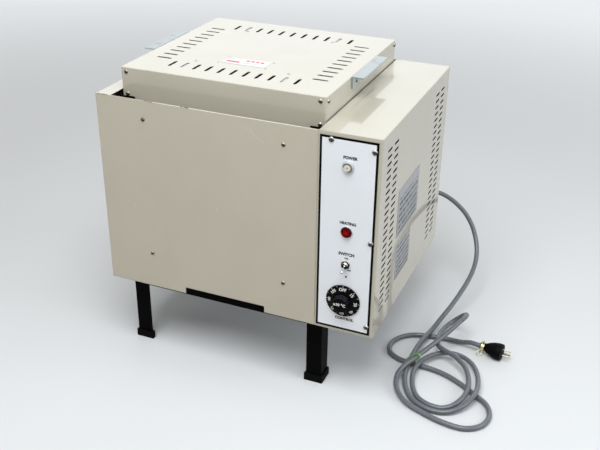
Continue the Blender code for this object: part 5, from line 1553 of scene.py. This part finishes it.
def nameplate_print():
    """White enamel, a red stripe at the left, short red dashes above and a grey rule below."""
    material, tree, shader = new_finish("nameplate_print")
    place = own_place(tree)
    axes = axes_of(tree, place)
    along = share_between(tree, axes["X"], NAMEPLATE_LOW.x, NAMEPLATE_HIGH.x)
    up = share_between(tree, axes["Y"], NAMEPLATE_LOW.y, NAMEPLATE_HIGH.y)

    def patch(left, right, bottom, top):
        """A mask of one printed patch, placed in shares of the plate's length and width."""
        return times(tree, within(tree, along, left, right, 0.004), within(tree, up, bottom, top, 0.012))

    red = patch(0.05, 0.36, 0.20, 0.44)
    dashes = math_node(tree, "FRACT", times(tree, along, 9.0))
    gaps = fade(tree, math_node(tree, "PINGPONG", dashes, 0.5), 0.10, 0.16)
    red = larger(tree, red, times(tree, patch(0.445, 0.89, 0.56, 0.80), gaps))
    grey = patch(0.42, 0.80, 0.26, 0.34)
    cloud = noise(tree, place, 90.0, 4.0)
    white = mix(tree, cloud, (0.80, 0.81, 0.83, 1), (0.70, 0.71, 0.73, 1))
    inked = mix(tree, grey, white, (0.30, 0.36, 0.50, 1))
    tree.links.new(mix(tree, red, inked, (0.62, 0.03, 0.04, 1)), shader.inputs["Base Color"])
    rough = ramp(tree, cloud, 0.15, 0.20)
    tree.links.new(rough, shader.inputs["Roughness"])
    return material


NAMEPLATE_LOW = spot(0.2055, 0.1500, LID_TOP_FACE + 0.0001)
NAMEPLATE_HIGH = spot(0.3000, 0.1880, LID_TOP_FACE + 0.0008)
nameplate = thin_plate("nameplate", NAMEPLATE_LOW, NAMEPLATE_HIGH, PLATE_EDGE)
finish_piece(nameplate, nameplate_print(), "lid")
rivet = turned_piece("rivet_pattern", [(0.0020, -0.0002), (0.0020, 0.0002), (0.0017, 0.0008),
                                       (0.0011, 0.0012), (0.0004, 0.0013)], 16)
rivet_places = [spot(x, y, LID_TOP_FACE)
                for x, y in ((0.202, 0.192), (0.199, 0.148), (0.304, 0.147), (0.305, 0.188))]
nameplate_rivets = copied(rivet, "nameplate_rivets", rivet_places, (0, 0, 0))
finish_piece(nameplate_rivets, PANEL_STEEL, "lid")

# Lid handles
# Aluminium angle, cut to length and screwed to the lid's sides so that its flat leg lies level with
# the top and reaches outward as a grip.
ANGLE_LEG, ANGLE_THICK = 0.025, 0.003
ALUMINIUM = metal_finish("drawn_aluminium", (0.48, 0.515, 0.525, 1), (0.34, 0.35, 0.35, 1), stained=0.4,
                         roughness=0.34, stretch=(1.0, 0.02, 1.0), depth=0.0002)
for side, turn in (("left", TO_LEFT), ("right", TO_RIGHT)):
    dress("lid_handle_" + side, ALUMINIUM)
    low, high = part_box("lid_handle_" + side)
    leg_face = high.x - ANGLE_LEG + ANGLE_THICK if side == "right" else low.x + ANGLE_LEG - ANGLE_THICK
    places = [on_case(leg_face - CASE_LEFT, y, 0.4555) for y in (0.1945, 0.3025)]
    set_of_screws("lid_handle_" + side + "_screws", places, turn, 0.0036, 0.0020, "lid")

# Floor and light
# A plain pale floor under soft studio light: a panel above and in front, a wide one behind, weaker ones
# from both sides, and an even surround.


def looked_at(tree):
    """1 for what the camera, a reflection or clear plastic shows, and 0 for the light it gives off."""
    seen = add(tree, "LightPath").outputs
    return larger(tree, seen["Is Camera Ray"],
                  larger(tree, seen["Is Glossy Ray"], seen["Is Transmission Ray"]))


def pale_floor():
    """A plain floor, pale where it is looked at, and kept pale where it runs out of the lamps' reach."""
    material, tree, shader = new_finish("pale_floor", specular=0.2)
    shader.inputs["Roughness"].default_value = 0.8
    place = own_place(tree)
    tone = noise(tree, place, 0.8, 3.0)
    direct = looked_at(tree)
    pale = mix(tree, tone, (0.67, 0.68, 0.69, 1), (0.71, 0.72, 0.73, 1))
    tree.links.new(mix(tree, direct, (0.46, 0.43, 0.39, 1), pale), shader.inputs["Base Color"])
    away = add(tree, "VectorMath", {0: place}, operation="LENGTH").outputs["Value"]
    far = times(tree, fade(tree, away, 1.2, 4.2), direct)
    tree.links.new(mix(tree, far, (0, 0, 0, 1), (0.42, 0.44, 0.46, 1)), shader.inputs["Emission Color"])
    shader.inputs["Emission Strength"].default_value = 1.0
    return material


deselect()
bpy.ops.mesh.primitive_plane_add(size=30, location=(0, 0, -0.0002))
floor = bpy.context.object
floor.name = "floor"
apply_place()
dress(floor, pale_floor())
LIGHT_AIM = Vector((0.0, 0.0, 0.4))


def light_panel(name, width, depth, place, power, colour):
    """A soft rectangular light turned towards the middle of the kiln."""
    data = bpy.data.lights.new(name, "AREA")
    data.shape = "RECTANGLE"
    data.size = width
    data.size_y = depth
    data.energy = power
    data.color = colour
    panel = bpy.data.objects.new(name, data)
    panel.location = place
    panel.rotation_euler = (LIGHT_AIM - Vector(place)).to_track_quat("-Z", "Y").to_euler()
    bpy.context.scene.collection.objects.link(panel)


light_panel("ceiling_panel", 2.0, 1.6, (0.30, -1.30, 2.7), 75.0, (0.95, 0.98, 1.0))
light_panel("right_panel", 1.8, 1.8, (2.60, -0.20, 1.5), 29.0, (0.90, 0.96, 1.0))
light_panel("left_panel", 1.6, 1.4, (-1.90, -2.20, 1.6), 5.0, (1.0, 0.98, 0.95))
light_panel("rear_panel", 7.0, 2.6, (0.10, 3.40, 2.0), 42.0, (0.94, 0.98, 1.0))
world = bpy.data.worlds.new("surround")
bpy.context.scene.world = world
world.use_nodes = True
sky = world.node_tree
surround = sky.nodes["Background"]
direct = looked_at(sky)
sky.links.new(mix(sky, direct, (1.0, 0.97, 0.93, 1), (0.95, 0.97, 1.0, 1)), surround.inputs["Color"])
strength = ramp(sky, direct, 0.55, 0.30)
sky.links.new(strength, surround.inputs["Strength"])
bpy.context.scene.view_settings.view_transform = "Standard"
